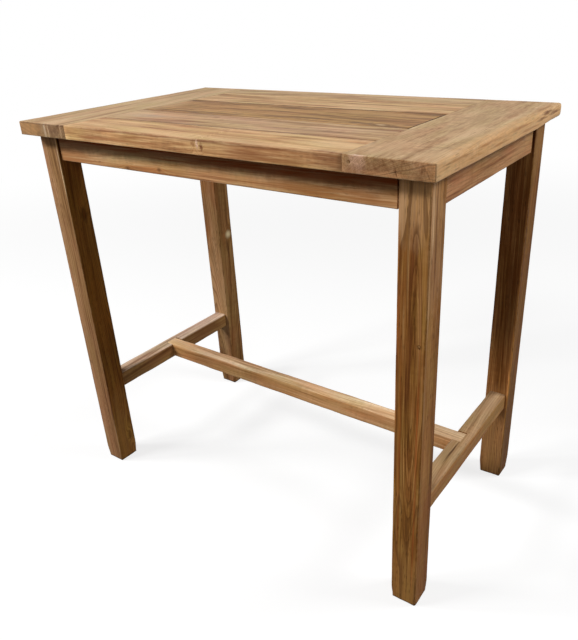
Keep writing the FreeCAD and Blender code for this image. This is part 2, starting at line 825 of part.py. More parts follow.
# Legs on one diagonal are the same piece, turned by half a turn; the other two are its mirror
for leg_name, leg_hand, leg_x, leg_y, leg_turn in (
    ("leg_front_left", 1, f"(-{LEG_CENTRE_X})", f"(-{LEG_CENTRE_Y})", 0),
    ("leg_front_right", -1, LEG_CENTRE_X, f"(-{LEG_CENTRE_Y})", 0),
    ("leg_rear_right", 1, LEG_CENTRE_X, LEG_CENTRE_Y, 180),
    ("leg_rear_left", -1, f"(-{LEG_CENTRE_X})", LEG_CENTRE_Y, 180),
):
    pieces.append(make_leg(leg_name, leg_hand, leg_x, leg_y, leg_turn))

APRON_OUTER_X = f"({LEG_FACE_X} - apron_setback)"
APRON_OUTER_Y = f"({LEG_FACE_Y} - apron_setback)"
pieces += [
    make_apron("apron_front", CLEAR_LENGTH, True, "0", f"(-{APRON_OUTER_Y})", 0),
    make_apron("apron_rear", CLEAR_LENGTH, True, "0", APRON_OUTER_Y, 180),
    make_apron("apron_right", CLEAR_DEPTH, False, APRON_OUTER_X, "0", 90),
    make_apron("apron_left", CLEAR_DEPTH, False, f"(-{APRON_OUTER_X})", "0", -90),
]

STRETCHER_OUTER_X = f"({LEG_FACE_X} - stretcher_setback)"
pieces += [
    make_side_stretcher("left", f"(-{STRETCHER_OUTER_X})", 0),
    make_side_stretcher("right", STRETCHER_OUTER_X, 180),
    make_centre_stretcher(),
]

pieces += [make_rail(side, x) for side, x in zip(RAIL_NAMES, RAIL_PLACES)]

for corner, brace_x, brace_y, brace_turn in (
    ("front_left", f"(-{CLEAR_LENGTH} / 2)", f"(-{CLEAR_DEPTH} / 2)", 0),
    ("front_right", f"({CLEAR_LENGTH} / 2)", f"(-{CLEAR_DEPTH} / 2)", 90),
    ("rear_right", f"({CLEAR_LENGTH} / 2)", f"({CLEAR_DEPTH} / 2)", 180),
    ("rear_left", f"(-{CLEAR_LENGTH} / 2)", f"({CLEAR_DEPTH} / 2)", 270),
):
    pieces.append(make_brace(corner, brace_x, brace_y, brace_turn))

pieces += make_fasteners()

# Check every object before anything is written

doc.recompute()
for checked in doc.Objects:
    if "Invalid" in checked.State or "Error" in checked.State:
        raise RuntimeError(f"{checked.Label} did not compute: {checked.State}")
    if checked.TypeId == "PartDesign::Pocket":
        if checked.Shape.Volume >= checked.BaseFeature.Shape.Volume:
            raise RuntimeError(f"{checked.Label} cuts nothing")
for piece in pieces:
    if piece.Shape.isNull() or not piece.Shape.isValid():
        raise RuntimeError(f"{piece.Label} has no valid shape")

os.makedirs("parts", exist_ok=True)
for piece in pieces:
    piece.Shape.exportStep(f"parts/{piece.Label}.step")
    bounds = piece.Shape.BoundBox
    print(f"{piece.Label}: {len(piece.Shape.Solids)} solids, {piece.Shape.Volume:.0f} mm3, "
          f"{bounds.XLength:.1f} x {bounds.YLength:.1f} x {bounds.ZLength:.1f} mm")
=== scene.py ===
# %% [markdown]
# # A tall teak table, dressed for its picture
# The table is a bar table of solid teak: five long boards between two end boards, four square legs,
# aprons under the top and an H of stretchers near the floor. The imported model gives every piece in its
# right place, so the work here is wood: its rings, pores, knots, worn arrises and the light on them.
# Everything is in metres, with +X along the top, -Y towards the front and +Z up.

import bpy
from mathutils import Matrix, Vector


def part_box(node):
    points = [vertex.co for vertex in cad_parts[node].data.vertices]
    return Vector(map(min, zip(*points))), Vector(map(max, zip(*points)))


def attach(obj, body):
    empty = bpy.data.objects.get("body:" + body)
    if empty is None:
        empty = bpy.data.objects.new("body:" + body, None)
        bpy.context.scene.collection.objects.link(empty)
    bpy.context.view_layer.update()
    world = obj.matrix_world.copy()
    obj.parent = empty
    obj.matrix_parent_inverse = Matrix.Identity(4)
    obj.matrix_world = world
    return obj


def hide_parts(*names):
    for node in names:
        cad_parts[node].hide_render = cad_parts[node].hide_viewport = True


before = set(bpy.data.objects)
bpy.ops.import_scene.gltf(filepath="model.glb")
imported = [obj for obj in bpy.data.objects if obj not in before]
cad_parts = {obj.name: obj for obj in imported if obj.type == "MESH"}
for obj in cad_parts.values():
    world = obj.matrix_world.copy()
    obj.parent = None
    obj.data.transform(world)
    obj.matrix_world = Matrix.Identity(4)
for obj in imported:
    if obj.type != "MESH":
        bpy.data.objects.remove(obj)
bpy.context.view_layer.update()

# %% [markdown]
# ## The tools that the lesson needs
# Blender's own modules come next. `bmesh` shapes the pieces, and `mathutils` gives vectors and a smooth noise
# that is the same at every run.

# %% Bring in Blender's modules
import math

import bmesh
import bpy
from mathutils import Matrix, Vector, noise

scene = bpy.context.scene
scene.view_settings.view_transform = "Standard"
print("the picture is shown with the", scene.view_settings.view_transform, "view")

# %% [markdown]
# ## The camera
# The photograph was taken by someone standing at the table's right front corner, with the lens a little
# above the top and tilted down. A camera was fitted to the edges that can be measured in the picture, and
# its place, its three angles and its focal length (in pixels) are used here as they are. The small shift
# puts the lens axis where the fit found it.

# %% Stand the camera where the photographer stood
PICTURE_WIDE, PICTURE_HIGH = 578, 640
FOCAL_PIXELS = 652.88
AXIS_ACROSS, AXIS_DOWN = 307.75, 321.35
SENSOR_MM = 36
camera_place = Vector((1.06045, -1.37548, 1.36364))
yaw, pitch, roll = math.radians(36.22), math.radians(-26.17), math.radians(-2.74)

forward = Vector((-math.sin(yaw) * math.cos(pitch), math.cos(yaw) * math.cos(pitch), math.sin(pitch)))
level_right = forward.cross(Vector((0, 0, 1))).normalized()
level_up = level_right.cross(forward)
lens_right = level_right * math.cos(roll) + level_up * math.sin(roll)
lens_up = -level_right * math.sin(roll) + level_up * math.cos(roll)

camera = bpy.data.objects.new("camera", bpy.data.cameras.new("camera"))
scene.collection.objects.link(camera)
turned_lens = Matrix((lens_right, lens_up, -forward)).transposed()
camera.matrix_world = Matrix.Translation(camera_place) @ turned_lens.to_4x4()
camera.data.sensor_fit = "AUTO"
camera.data.sensor_width = SENSOR_MM
camera.data.lens = SENSOR_MM * FOCAL_PIXELS / PICTURE_HIGH
camera.data.shift_x = (PICTURE_WIDE / 2 - AXIS_ACROSS) / PICTURE_HIGH
camera.data.shift_y = (AXIS_DOWN - PICTURE_HIGH / 2) / PICTURE_HIGH
camera.data.clip_start = 0.01
scene.camera = camera


def seen_at(place):
    """The pixel of the picture at which the camera sees a place."""
    line = Vector(place) - camera_place
    deep = line.dot(forward)
    return (round(AXIS_ACROSS + FOCAL_PIXELS * line.dot(lens_right) / deep, 1),
            round(AXIS_DOWN - FOCAL_PIXELS * line.dot(lens_up) / deep, 1))


print("near right corner of the top at pixel", seen_at((0.600, -0.360, 1.110)))
print("foot of the nearest leg at pixel", seen_at((0.576, -0.323, 0.0)))

# %% [markdown]
# ## Small helpers for material nodes
# A material is a web of nodes. Typing each link by hand soon hides the idea, so a few short helpers make a
# node, feed its sockets with numbers or with other nodes' outputs, and do arithmetic on the way. They all
# add to `tree`, which is the web of the newest material.

# %% Helpers: new_material, feed, add, split, reckon, times, reckon_vector, stretch
def new_material(name):
    """A new material and its shader. From here on, the helpers add their nodes to its tree."""
    global tree
    material = bpy.data.materials.new(name)
    material.use_nodes = True
    tree = material.node_tree
    return material, tree.nodes["Principled BSDF"]


def feed(socket, value):
    if isinstance(value, bpy.types.NodeSocket):
        tree.links.new(value, socket)
    else:
        socket.default_value = value


def add(kind, *values, **settings):
    """A new node. The values feed its sockets in their order."""
    made = tree.nodes.new("ShaderNode" + kind)
    for name, value in settings.items():
        setattr(made, name, value)
    for socket, value in zip(made.inputs, values):
        feed(socket, value)
    return made


def split(vector):
    """The three numbers of a vector."""
    return add("SeparateXYZ", vector).outputs


def reckon(operation, *values, clamp=False):
    """One Math node, fed with sockets or numbers. Gives its output."""
    return add("Math", *values, operation=operation, use_clamp=clamp).outputs[0]


def times(value, amount, plus=None, clamp=False):
    """A product, and with `plus` a product and a sum in one node."""
    if plus is None:
        return reckon("MULTIPLY", value, amount)
    return reckon("MULTIPLY_ADD", value, amount, plus, clamp=clamp)


def reckon_vector(operation, *values):
    """One Vector Math node. Gives a length for LENGTH, and a vector otherwise."""
    made = add("VectorMath", *values, operation=operation)
    return made.outputs["Value" if operation == "LENGTH" else "Vector"]


def stretch(point, shares, shift=None):
    """Scales a place along each direction, and may shift it, to draw out a pattern laid on it."""
    if shift is None:
        return reckon_vector("MULTIPLY", point, shares)
    return reckon_vector("MULTIPLY_ADD", point, shares, shift)


print("helpers ready")

# %% [markdown]
# The next helpers are the wood's vocabulary. `cloud` is a soft noise, `fade` turns a distance into a share
# between 0 and 1 with soft ends, `tint` mixes two colours, and `steps_of` is a colour ramp.

# %% Helpers: cloud, fade, tint, steps_of, paint
def cloud(where, scale=1.0, detail=2.0, rough=0.5, socket="Vector", dimensions="3D"):
    """A noise from 0 to 1 round a middle of 0.5."""
    made = add("TexNoise", noise_dimensions=dimensions)
    for name, value in ((socket, where), ("Scale", scale), ("Detail", detail), ("Roughness", rough)):
        feed(made.inputs[name], value)
    return made.outputs[0]


def cloud_line(value, **settings):
    """The same noise along a single number, such as the age of a ring."""
    return cloud(value, socket="W", dimensions="1D", **settings)


def fade(value, start, end, low=0.0, high=1.0):
    """Low before start, high after end, and a smooth slope between."""
    return add("MapRange", value, start, end, low, high, interpolation_type="SMOOTHSTEP").outputs[0]


def tint(share, under, over, blend="MIX"):
    """Lays one colour over another by a share."""
    made = add("Mix", data_type="RGBA", blend_type=blend)
    for socket, value in ((0, share), (6, under), (7, over)):
        feed(made.inputs[socket], value)
    return made.outputs[2]


def steps_of(value, *stops):
    """A colour ramp. Each stop is its place and its colour."""
    made = add("ValToRGB", value)
    ramp = made.color_ramp
    while len(ramp.elements) < len(stops):
        ramp.elements.new(1.0)
    for element, (place, colour) in zip(ramp.elements, stops):
        element.position, element.color = place, colour
    return made.outputs[0]


def paint(red, green, blue):
    """A colour as a screen shows it, from 0 to 255, turned into the light that the renderer reckons with."""
    def light(level):
        level = level / 255
        return level / 12.92 if level <= 0.04045 else ((level + 0.055) / 1.055) ** 2.4
    return (light(red), light(green), light(blue), 1.0)


print("a mid-brown teak of 150, 110, 72 is", [round(v, 3) for v in paint(150, 110, 72)])

# %% [markdown]
# ## How teak grows, and how a board shows it
# A tree lays down a ring each year round its pith. A sawn board is a flat cut through those nested cones,
# so the same rings are long lines on a face near the middle, pointed arches where the cut leaves the pith
# at a slant, and arcs on the end grain. So the wood here is solid: one ring distance is worked out in
# three dimensions, and every face of a piece cuts through the same wood. Each piece gets its own pith
# line, so no two look alike.
#
# `run` is the direction of the grain. `pith` is how far the pith lies from the piece's middle, across and
# up, and `lean` is how much it tilts along the piece. A leaning pith makes the arches.

# %% Lay the wood's own directions in a piece
ALONG = {"X": (0, 1, 2), "Y": (1, 0, 2), "Z": (2, 0, 1)}


def middle_of(low, high):
    return [(a + b) / 2 for a, b in zip(low, high)]


def wood_directions(run, middle, pith, lean):
    """Where a point lies in the tree: along the grain, and across it from the pith."""
    point = add("TexCoord").outputs["Object"]
    sides = split(point)
    turned = add("CombineXYZ", *(sides[axis] for axis in ALONG[run])).outputs[0]
    along, across, up = (middle[axis] for axis in ALONG[run])
    place = (-along, -across - pith[0], -up - pith[1])
    placed = add("Mapping", turned, place, vector_type="POINT").outputs[0]
    leant = add("Mapping", placed, (0.0, 0.0, 0.0), (0.0, lean[1], lean[0]), vector_type="POINT")
    return point, leant.outputs[0]


print("grain can run along", ", ".join(ALONG))

# %% [markdown]
# A knot is the root of a branch. The rings bend round it, it has small rings of its own, and it is darker
# and harder than the wood about it, sometimes with a pale eye. Here each knot pushes the ring distance
# outwards near it, and may tilt the rings, up on one side and down on the other. `facing` is the direction
# in which the branch left, and `through` says how soon it ends in the wood: a small share runs right
# through the piece.

# %% Make a knot's pull and its eye
def knot_in(point, run, place, radius, length, facing, through):
    """How near a point is to a knot, in the knot's own radii, and how far along the grain."""
    squeeze = [1.0 / radius] * 3
    squeeze["XYZ".index(run)] /= length
    squeeze["XYZ".index(facing)] *= through
    near = reckon_vector("MULTIPLY", reckon_vector("SUBTRACT", point, place), squeeze)
    along = split(near)["XYZ".index(run)]
    return reckon_vector("LENGTH", near), along


print("knots ready")

# %% [markdown]
# ## The teak itself
# One recipe mixes every teak finish on the table, in steps, so that each step can be read by itself.
# First come the rings. From the ring distance the wood takes soft colour bands, good years and poor ones,
# and a thin dark line where each year ends. Slow noise bends the rings, as no tree grows round.

# %% Step one: rings, bands and streaks
SLOW_BEND, QUICK_BEND = 0.040, 0.0050


def grow_rings(wood, point, run, knots, ring, wobble, seed):
    """Gives the year at a point, with its fraction, and a list of how near each knot is."""
    slow = cloud(stretch(wood, (2.1, 9.0, 9.0), (seed, seed * 1.7, 0.0)), detail=1.0)
    quick = cloud(stretch(wood, (9.0, 46.0, 46.0), (0.0, seed, seed * 2.3)), detail=2.0)
    reach = reckon_vector("LENGTH", stretch(wood, (0.0, 1.0, 1.0)))
    reach = times(slow, SLOW_BEND * wobble, reach)
    reach = times(quick, QUICK_BEND * wobble, reach)
    nearness = []
    for knot in knots:
        radius = knot["radius"]
        near, along = knot_in(point, run, knot["place"], radius, knot["stretch"], knot["facing"],
                              knot.get("through", 0.12))
        pull = fade(near, 0.0, knot.get("spread", 6.0), 1.0, 0.0)
        reach = times(times(pull, pull), radius * knot.get("push", 1.2), reach)
        if "tilt" in knot:
            reach = times(times(pull, along), radius * knot["tilt"], reach)
        nearness.append(near)
    return reckon("DIVIDE", reach, ring), quick, nearness


def streaks_in(wood, length, width, seed, rough=0.6):
    """Noise drawn out along the grain. Length and width are in metres."""
    drawn = stretch(wood, (1 / length, 1 / width, 1 / width), (seed, seed * 0.7, 0.0))
    return cloud(drawn, rough=rough)


def share_of(value, amount, start=0.0):
    """Adds a noise, as much above or below its middle as it is, to a running sum."""
    return times(reckon("SUBTRACT", value, 0.5), amount, start)


print("rings can be grown")

# %% [markdown]
# Pores come next. Teak's vessels are wide, and where a face cuts along them they show as dark dashes, a few
# millimetres to two centimetres long. A Voronoi pattern, drawn out along the grain, gives separate cells.
# Only some of them are dark, and they gather in crowds.

# %% Step two: pores
PORES_ALONG, PORES_ACROSS = 58.0, 520.0


def pores_in(wood, size, seed):
    drawn = (PORES_ALONG / size, PORES_ACROSS / size, PORES_ACROSS / size)
    cells = add("TexVoronoi", stretch(wood, drawn, (seed, 0.0, seed)), feature="F1")
    cells.inputs["Scale"].default_value = 1.0
    pick = add("SeparateColor", cells.outputs["Color"]).outputs[0]
    inside = fade(cells.outputs["Distance"], 0.16, 0.42, 1.0, 0.0)
    dark = times(inside, fade(pick, 0.35, 0.95))
    crowd = fade(cloud(stretch(wood, (4.0, 40.0, 40.0)), detail=1.0), 0.35, 0.65)
    return times(dark, crowd)


print("pores can be opened")

# %% [markdown]
# End grain drinks light and oil, so it is darker, and it shows the rays, which are pale and dark spokes out
# from the pith. The angle round the pith gives them. Which faces are end grain is read from the direction
# that the face looks in, against the run of the grain.

# %% Step three: end grain
def end_grain(colour, wood, quick, run, end_shade):
    """Gives the colour with its ends darkened, the share of end grain, and where the face looks."""
    looks = split(add("TexCoord").outputs["Normal"])
    ended = fade(reckon("ABSOLUTE", looks["XYZ".index(run)]), 0.55, 0.85)
    _, across, up = split(wood)
    angle = reckon("ARCTAN2", across, up)
    rays = cloud_line(times(quick, 0.03, angle), scale=55.0, rough=0.7)
    bright, dim = ((*[v * share for v in end_shade], 1.0) for share in (1.22, 0.74))
    shade = tint(fade(rays, 0.30, 0.70), bright, dim)
    return tint(ended, colour, tint(1.0, colour, shade, "MULTIPLY")), ended, looks


print("end grain can be cut")

# %% [markdown]
# The table has been used. Arrises are rubbed pale, and dirt sits in the seams of the top. The same darkening
# along a line also paints shade: under the top on the front apron, and a contact shadow where the legs meet
# the floor. Each face that looks one way can take its own shares of colour, and on the legs' sides and the
# stretchers' upper faces these paint light and shade: the sides darker under the table, the upper faces
# paler and greyer, as light and sheen. A worn arris is found from the second nearest of a point's three
# distances to the piece's sides, which is small only along an edge. `LOOKING` gives the axis and the sign of
# each named side.

# %% Step four: wear, dirt and painted shade along lines, and painted light and shade by face
LOOKING = {"up": (2, 1), "down": (2, -1), "front": (1, -1), "back": (1, 1), "right": (0, 1), "left": (0, -1)}
# This one colour is the real dirt in the top's seams, and also the painted shade under the top and the painted
# contact shadow at the feet.
DIRT_AND_SHADE = (42, 22, 8)


def distance_to_arris(point, low, high):
    half = [(b - a) / 2 for a, b in zip(low, high)]
    inner = reckon_vector("ABSOLUTE", reckon_vector("SUBTRACT", point, middle_of(low, high)))
    a, b, c = split(reckon_vector("SUBTRACT", half, inner))
    least = reckon("MINIMUM", a, b)
    return reckon("MAXIMUM", least, reckon("MINIMUM", reckon("MAXIMUM", a, b), c))


def dirt_and_shade_at(colour, point, seams, rub):
    """Darkens the wood along each line: real dirt beside the seams of the top, painted shade under the top and a
    painted contact shadow at the feet. A line gives its axis, its place, how far the darkening reaches and how dark
    it is.
    """
    sides = split(point)
    for axis, place, reach, share in seams:
        away = reckon("ABSOLUTE", reckon("SUBTRACT", sides["XYZ".index(axis)], place))
        away = times(rub, reach * -0.6, reckon("ADD", away, reach * 0.3))
        share_here = times(fade(away, reach * 0.55, reach * 1.15, 1.0, 0.0), share)
        colour = tint(share_here, colour, paint(*DIRT_AND_SHADE))
    return colour


def tone_and_light_faces(colour, looks, tones):
    """Multiplies the colour of the faces that look one way by red, green and blue shares. On the legs' sides the
    shares paint shade, and on the stretchers' upper faces they paint light and sheen, paler and greyer. Elsewhere
    they set a face's own tone.
    """
    for way, shares in tones.items():
        axis, sign = LOOKING[way]
        facing = fade(times(looks[axis], float(sign)), 0.35, 0.90)
        colour = tint(facing, colour, tint(1.0, colour, (*shares, 1.0), "MULTIPLY"))
    return colour


print("the table can be worn and soiled")

# %% [markdown]
# Real boards also have places of their own: a dark streak, a pale heart, a strip of sapwood. On the legs and the
# front apron some patches are painted light and shade instead: painted shade under the top, the top's painted
# shadow on the rear legs, painted highlights along arrises, and painted light fading down a leg. Each is a
# patch: a place, how far it reaches along X, Y and Z, its colour and its share. A noise on the patch's own
# scale frays its border, and the grain shows through it. Most patches lie on one face, so `on_face` takes
# the face once and then only what differs: two places, two reaches, the colour and the share, and at the
# end how deep the patch goes where it isn't as deep as the others.

# %% Step five: patches
def lay_patches(colour, point, grain, patches):
    for place, size, other, share in patches:
        squeezed = reckon_vector("DIVIDE", reckon_vector("SUBTRACT", point, place), size)
        frayed = cloud(squeezed, scale=1.5, detail=3.0, rough=0.6)
        close = share_of(frayed, 1.5, reckon_vector("LENGTH", squeezed))
        through = fade(grain, 0.30, 0.62, 0.45, 1.0)
        covered = times(times(fade(close, 0.35, 1.15, 1.0, 0.0), through), share)
        colour = tint(covered, colour, paint(*other))
    return colour


def on_face(axis, level, deep, *rows):
    """Patches on the face at one level, in metres. A row is two places and two reaches in millimetres, red,
    green and blue, the share in percent, and the depth in millimetres where it is the row's own."""
    patches = []
    for place_a, place_b, reach_a, reach_b, red, green, blue, percent, *own_deep in rows:
        place, reach = [place_a / 1000, place_b / 1000], [reach_a / 1000, reach_b / 1000]
        place.insert("XYZ".index(axis), level)
        reach.insert("XYZ".index(axis), (own_deep[0] if own_deep else deep) / 1000)
        patches.append((place, reach, (red, green, blue), percent / 100))
    return patches


print("patches can be laid")

# %% [markdown]
# Teak also shimmers. Where its fibres wave, bands across the grain look paler and darker, and its colour
# drifts between a pinkish and an olive brown from one hand's breadth to the next. Both are slight, but a
# board without them looks printed.

# %% Step six: shimmer and drift
def shimmer(colour, wood, figure, drift, seed):
    def between(value, low, high):
        shades = steps_of(value, (0.34, (*low, 1)), (0.50, (1, 1, 1, 1)), (0.66, (*high, 1)))
        return tint(1.0, colour, shades, "MULTIPLY")
    across = cloud(stretch(wood, (95.0, 24.0, 24.0), (seed, 0.0, seed)), rough=0.55)
    crowd = cloud(stretch(wood, (7.0, 15.0, 15.0), (0.0, seed, 0.0)), detail=1.0)
    share = times(fade(crowd, 0.40, 0.65), figure)
    colour = tint(share, colour, between(across, (0.76, 0.73, 0.70), (1.18, 1.18, 1.20)))
    turn = cloud(stretch(wood, (6.5, 22.0, 22.0), (seed * 3.0, seed, 0.0)))
    return tint(drift, colour, between(turn, (0.95, 1.01, 0.90), (1.07, 0.97, 0.99)))


print("the wood can shimmer")

# %% [markdown]
# Now the steps are put together into one finish for one piece. The same values feed colour, roughness and
# bump: the dark late wood is dense and smoother, the pores are small pits, and the ends are rough. `gloss`
# is the small mirror share of dry, unpolished wood. `pale`, `deep` and `dark` are the wood's own three
# colours, and the other names say how strong each step is.

# %% Mix a teak finish for one piece
def teak(name, run, box, pale, deep, dark, pith=(0.0, -0.09), lean=(0.0, 0.0), ring=0.0042, bands=1.0,
         streaks=1.0, streak_size=(0.22, 0.0085), wobble=1.0, lines=0.30, dashes=0.5, dash_size=1.0, knots=(),
         worn=0.0022, worn_tint=(196, 160, 122), worn_share=0.5, end_shade=(0.70, 0.62, 0.54), seed=0.0,
         blotch=0.25, blotch_tint=(150, 122, 92), gloss=0.06, seams=(), tones=None, patches=(), figure=0.35,
         drift=0.8, sweep=1.0):
    material, shader = new_material(name)
    point, wood = wood_directions(run, middle_of(*box), pith, lean)
    year, quick, nearness = grow_rings(wood, point, run, knots, ring, wobble, seed)

    def lay(share, amount, other):
        """Lays a colour over the wood, where the share is, by an amount."""
        return tint(times(share, amount), colour, paint(*other))

    broad = cloud_line(reckon("ADD", year, seed * 3.0), scale=0.16, rough=0.6)
    fine = cloud_line(reckon("ADD", year, seed * 5.0), scale=0.9, detail=1.0)
    part = reckon("FRACT", year)
    late = times(fade(part, 0.55, 0.93), fade(part, 0.95, 1.0, 1.0, 0.0))
    wide = streaks_in(wood, 0.45, 0.030, seed + 3.0)
    narrow = streaks_in(wood, *streak_size, seed, rough=0.65)
    fibre = streaks_in(wood, 0.16, 0.0026, seed, rough=0.65)
    mixed = share_of(broad, 1.7 * bands)
    mixed = share_of(fine, 0.5 * bands, mixed)
    mixed = share_of(wide, 1.3 * streaks * sweep, mixed)
    mixed = share_of(narrow, 1.5 * streaks, mixed)
    mixed = reckon("ADD", mixed, 0.42, clamp=True)
    colour = steps_of(mixed, (0.0, paint(*pale)), (0.55, paint(*deep)), (1.0, paint(*dark)))

    patch = cloud(stretch(wood, (6.0, 24.0, 24.0), (seed * 2.0, 0.0, seed)), detail=3.0, rough=0.6)
    colour = lay(fade(patch, 0.42, 0.68), blotch, blotch_tint)
    colour = shimmer(colour, wood, figure, drift, seed)
    colour = lay_patches(colour, point, narrow, patches)
    colour = lay(late, lines, dark)
    colour = lay(fade(fibre, 0.42, 0.75), 0.38, dark)
    pore = pores_in(wood, dash_size, seed)
    colour = lay(pore, dashes, [v * 0.62 for v in dark])

    for near, knot in zip(nearness, knots):
        ripple = cloud_line(times(quick, 2.4, near), scale=3.2, detail=1.0)
        core = fade(share_of(ripple, 0.8, near), 0.35, knot.get("rim", 1.60), 1.0, 0.0)
        colour = lay(core, knot.get("share", 0.75), knot.get("ring_tint", [v * 0.78 for v in dark]))
        heart = fade(share_of(quick, 0.9, near), 0.0, knot.get("eye_to", 0.55), 1.0, 0.0)
        colour = lay(heart, 0.85, knot["eye"])

    colour, ended, looks = end_grain(colour, wood, quick, run, end_shade)
    colour = tone_and_light_faces(colour, looks, tones or {})
    rub = cloud(stretch(point, (38.0, 38.0, 38.0)), detail=3.0, rough=0.65)
    width = times(fade(rub, 0.38, 0.66), worn * 2.4, 0.0004)
    colour = lay(fade(distance_to_arris(point, *box), 0.0, width, 1.0, 0.0), worn_share, worn_tint)
    colour = dirt_and_shade_at(colour, point, seams, rub)
    feed(shader.inputs["Base Color"], colour)

    rough = times(fibre, 0.16, 0.56)
    rough = times(late, -0.07, rough)
    rough = times(pore, 0.14, rough)
    feed(shader.inputs["Roughness"], times(ended, 0.14, rough, clamp=True))
    shader.inputs["Specular IOR Level"].default_value = gloss

    height = times(fibre, 0.55, times(late, 0.30))
    height = times(pore, -0.85, height)
    height = times(rub, 0.35, height)
    feed(shader.inputs["Normal"], bump_of(height, 0.55, 0.00045))
    return material


def bump_of(height, strength, distance):
    """Turns a height into a tilt of the surface. The distance is in metres."""
    bump = add("Bump")
    for name, value in (("Strength", strength), ("Distance", distance), ("Height", height)):
        feed(bump.inputs[name], value)
    return bump.outputs[0]


print("the teak finish can be mixed")

# %% [markdown]
# ## Finishes for the top
# The five boards came from different trees. From the front they are a pale honey tan, a greyish pink brown
# with short dark dashes, a darker brown with dark streaks and a knot, a pale tan, and an olive tan. The
# end boards are pale, with arches in their grain, and the right one has a golden strip of sapwood along
# its outer edge. The named numbers are the places of the seams, of the end boards' joints and of the top's
# upper, front and right faces.

# %% Mix the finishes of the top
SEAM_FRONT, SEAM_FRONT_MIDDLE, SEAM_REAR_MIDDLE, SEAM_REAR = -0.2304, -0.0936, 0.0986, 0.2506
JOINT = 0.410
UP, FRONT, RIGHT = 1.110, -0.360, 0.600
TOP_SKIN = dict(worn_tint=(214, 180, 136), worn_share=0.30, gloss=0.20)
finishes = {}


def long_axis(low, high):
    return max(range(3), key=lambda k: high[k] - low[k])


def clad(name, **recipe):
    """Mixes the finish of one seen piece. The grain runs along its longest side."""
    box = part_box(name)
    finishes[name] = teak(name, "XYZ"[long_axis(*box)], box, **recipe)


clad(
    "top_board_front", **TOP_SKIN,
    pale=(228, 192, 142), deep=(202, 158, 108), dark=(150, 102, 62), pith=(-0.11, -0.08), lean=(0.04, 0.012),
    ring=0.0046, streaks=1.2, streak_size=(0.16, 0.006), dashes=0.55, lines=0.45, seed=1.3,
    tones={"front": (1.19, 1.16, 1.1)}, seams=(("Y", SEAM_FRONT, 0.0016, 0.7),),
    knots=[dict(place=(0.047, FRONT, 1.0965), radius=0.0062, stretch=0.55, facing="Y", eye=(240, 202, 172),
                eye_to=0.8, rim=1.7, share=0.45, ring_tint=(132, 82, 50), push=1.6, tilt=0.9, spread=6.0)],
    patches=[
        *on_face("Y", FRONT, 6, (385, 1093, 48, 30, 116, 78, 54, 85, 30),
            (270, 1092, 190, 26, 144, 92, 54, 60, 10), (50, 1106.2, 520, 4.2, 112, 68, 38, 95),
            (-200, 1087, 200, 6, 154, 100, 60, 75), (190, 1090, 90, 6, 128, 78, 44, 75)),
        *on_face("Z", UP, 10, (360, -292, 130, 35, 240, 212, 164, 60)),
        *on_face("Y", FRONT, 6, (57.5, 1093, 6, 12, 106, 60, 34, 100),
            (45.5, 1097.5, 4.2, 11, 250, 216, 190, 100), (34, 1098, 8, 6, 124, 74, 42, 80)),
        *on_face("Z", UP, 10, (250, -258, 70, 4.5, 142, 104, 62, 85), (238, -268, 50, 4.5, 150, 110, 66, 85),
            (225, -279, 35, 4.5, 158, 118, 72, 80), (60, -300, 120, 6, 178, 136, 88, 60),
            (-300, -290, 160, 40, 232, 196, 150, 40))])
clad(
    "top_board_front_middle", **TOP_SKIN,
    pale=(211, 176, 137), deep=(186, 148, 106), dark=(134, 93, 59), pith=(0.1, -0.09), lean=(-0.03, 0.02),
    ring=0.004, streaks=1.5, dashes=0.85, dash_size=1.9, seed=4.1, lines=0.35, blotch_tint=(172, 140, 116),
    blotch=0.4,
    seams=(("Y", SEAM_FRONT, 0.0022, 0.85), ("Y", SEAM_FRONT_MIDDLE, 0.0016, 0.8), ("X", JOINT, 0.0012, 0.2)),
    patches=[
        *on_face("Z", UP, 10, (270, -183, 50, 6, 110, 72, 46, 85), (243, -222, 50, 6, 104, 68, 42, 85),
            (-320, -170, 90, 25, 168, 150, 132, 60), (-400, -160, 100, 90, 214, 182, 140, 60))])
clad(
    "top_board_centre", **TOP_SKIN,
    pale=(188, 146, 93), deep=(157, 116, 68), dark=(99, 63, 31), pith=(-0.1, -0.1), lean=(0.03, -0.025),
    ring=0.005, bands=1.3, streaks=2.3, sweep=0.8, streak_size=(0.2, 0.0085), dashes=0.7, dash_size=1.8,
    seed=7.7, lines=0.45, blotch_tint=(168, 128, 84),
    seams=(("Y", SEAM_FRONT_MIDDLE, 0.0016, 0.8), ("Y", SEAM_REAR_MIDDLE, 0.0034, 1.0), ("X", JOINT, 0.0036, 1.0)),
    knots=[dict(place=(0.332, -0.073, UP), radius=0.0105, stretch=2.2, facing="Z", eye=(226, 192, 148),
                eye_to=0.95, rim=2.2, push=1.6, share=0.8, spread=5.0)],
    patches=[
        *on_face("Z", UP, 20, (-200, -72, 170, 12, 92, 58, 36, 85), (385, -86, 50, 10, 84, 54, 34, 85),
            (268, -66, 55, 10, 84, 54, 34, 85), (20, -58, 110, 16, 118, 80, 50, 70),
            (-300, -45, 60, 12, 120, 84, 56, 60), (300, 50, 130, 30, 184, 146, 98, 50),
            (-420, 0, 80, 120, 200, 164, 122, 60))])
clad(
    "top_board_rear_middle", **TOP_SKIN,
    pale=(218, 184, 139), deep=(192, 152, 104), dark=(139, 99, 61), pith=(0.1, -0.12), lean=(0.03, 0.015),
    ring=0.0046, streaks=2.8, sweep=0.7, streak_size=(0.22, 0.011), dashes=0.5, dash_size=2.0, seed=2.9,
    blotch=0.45, blotch_tint=(186, 148, 104),
    seams=(("Y", SEAM_REAR_MIDDLE, 0.004, 1.0), ("Y", SEAM_REAR, 0.001, 0.5), ("X", JOINT, 0.0012, 0.5)))
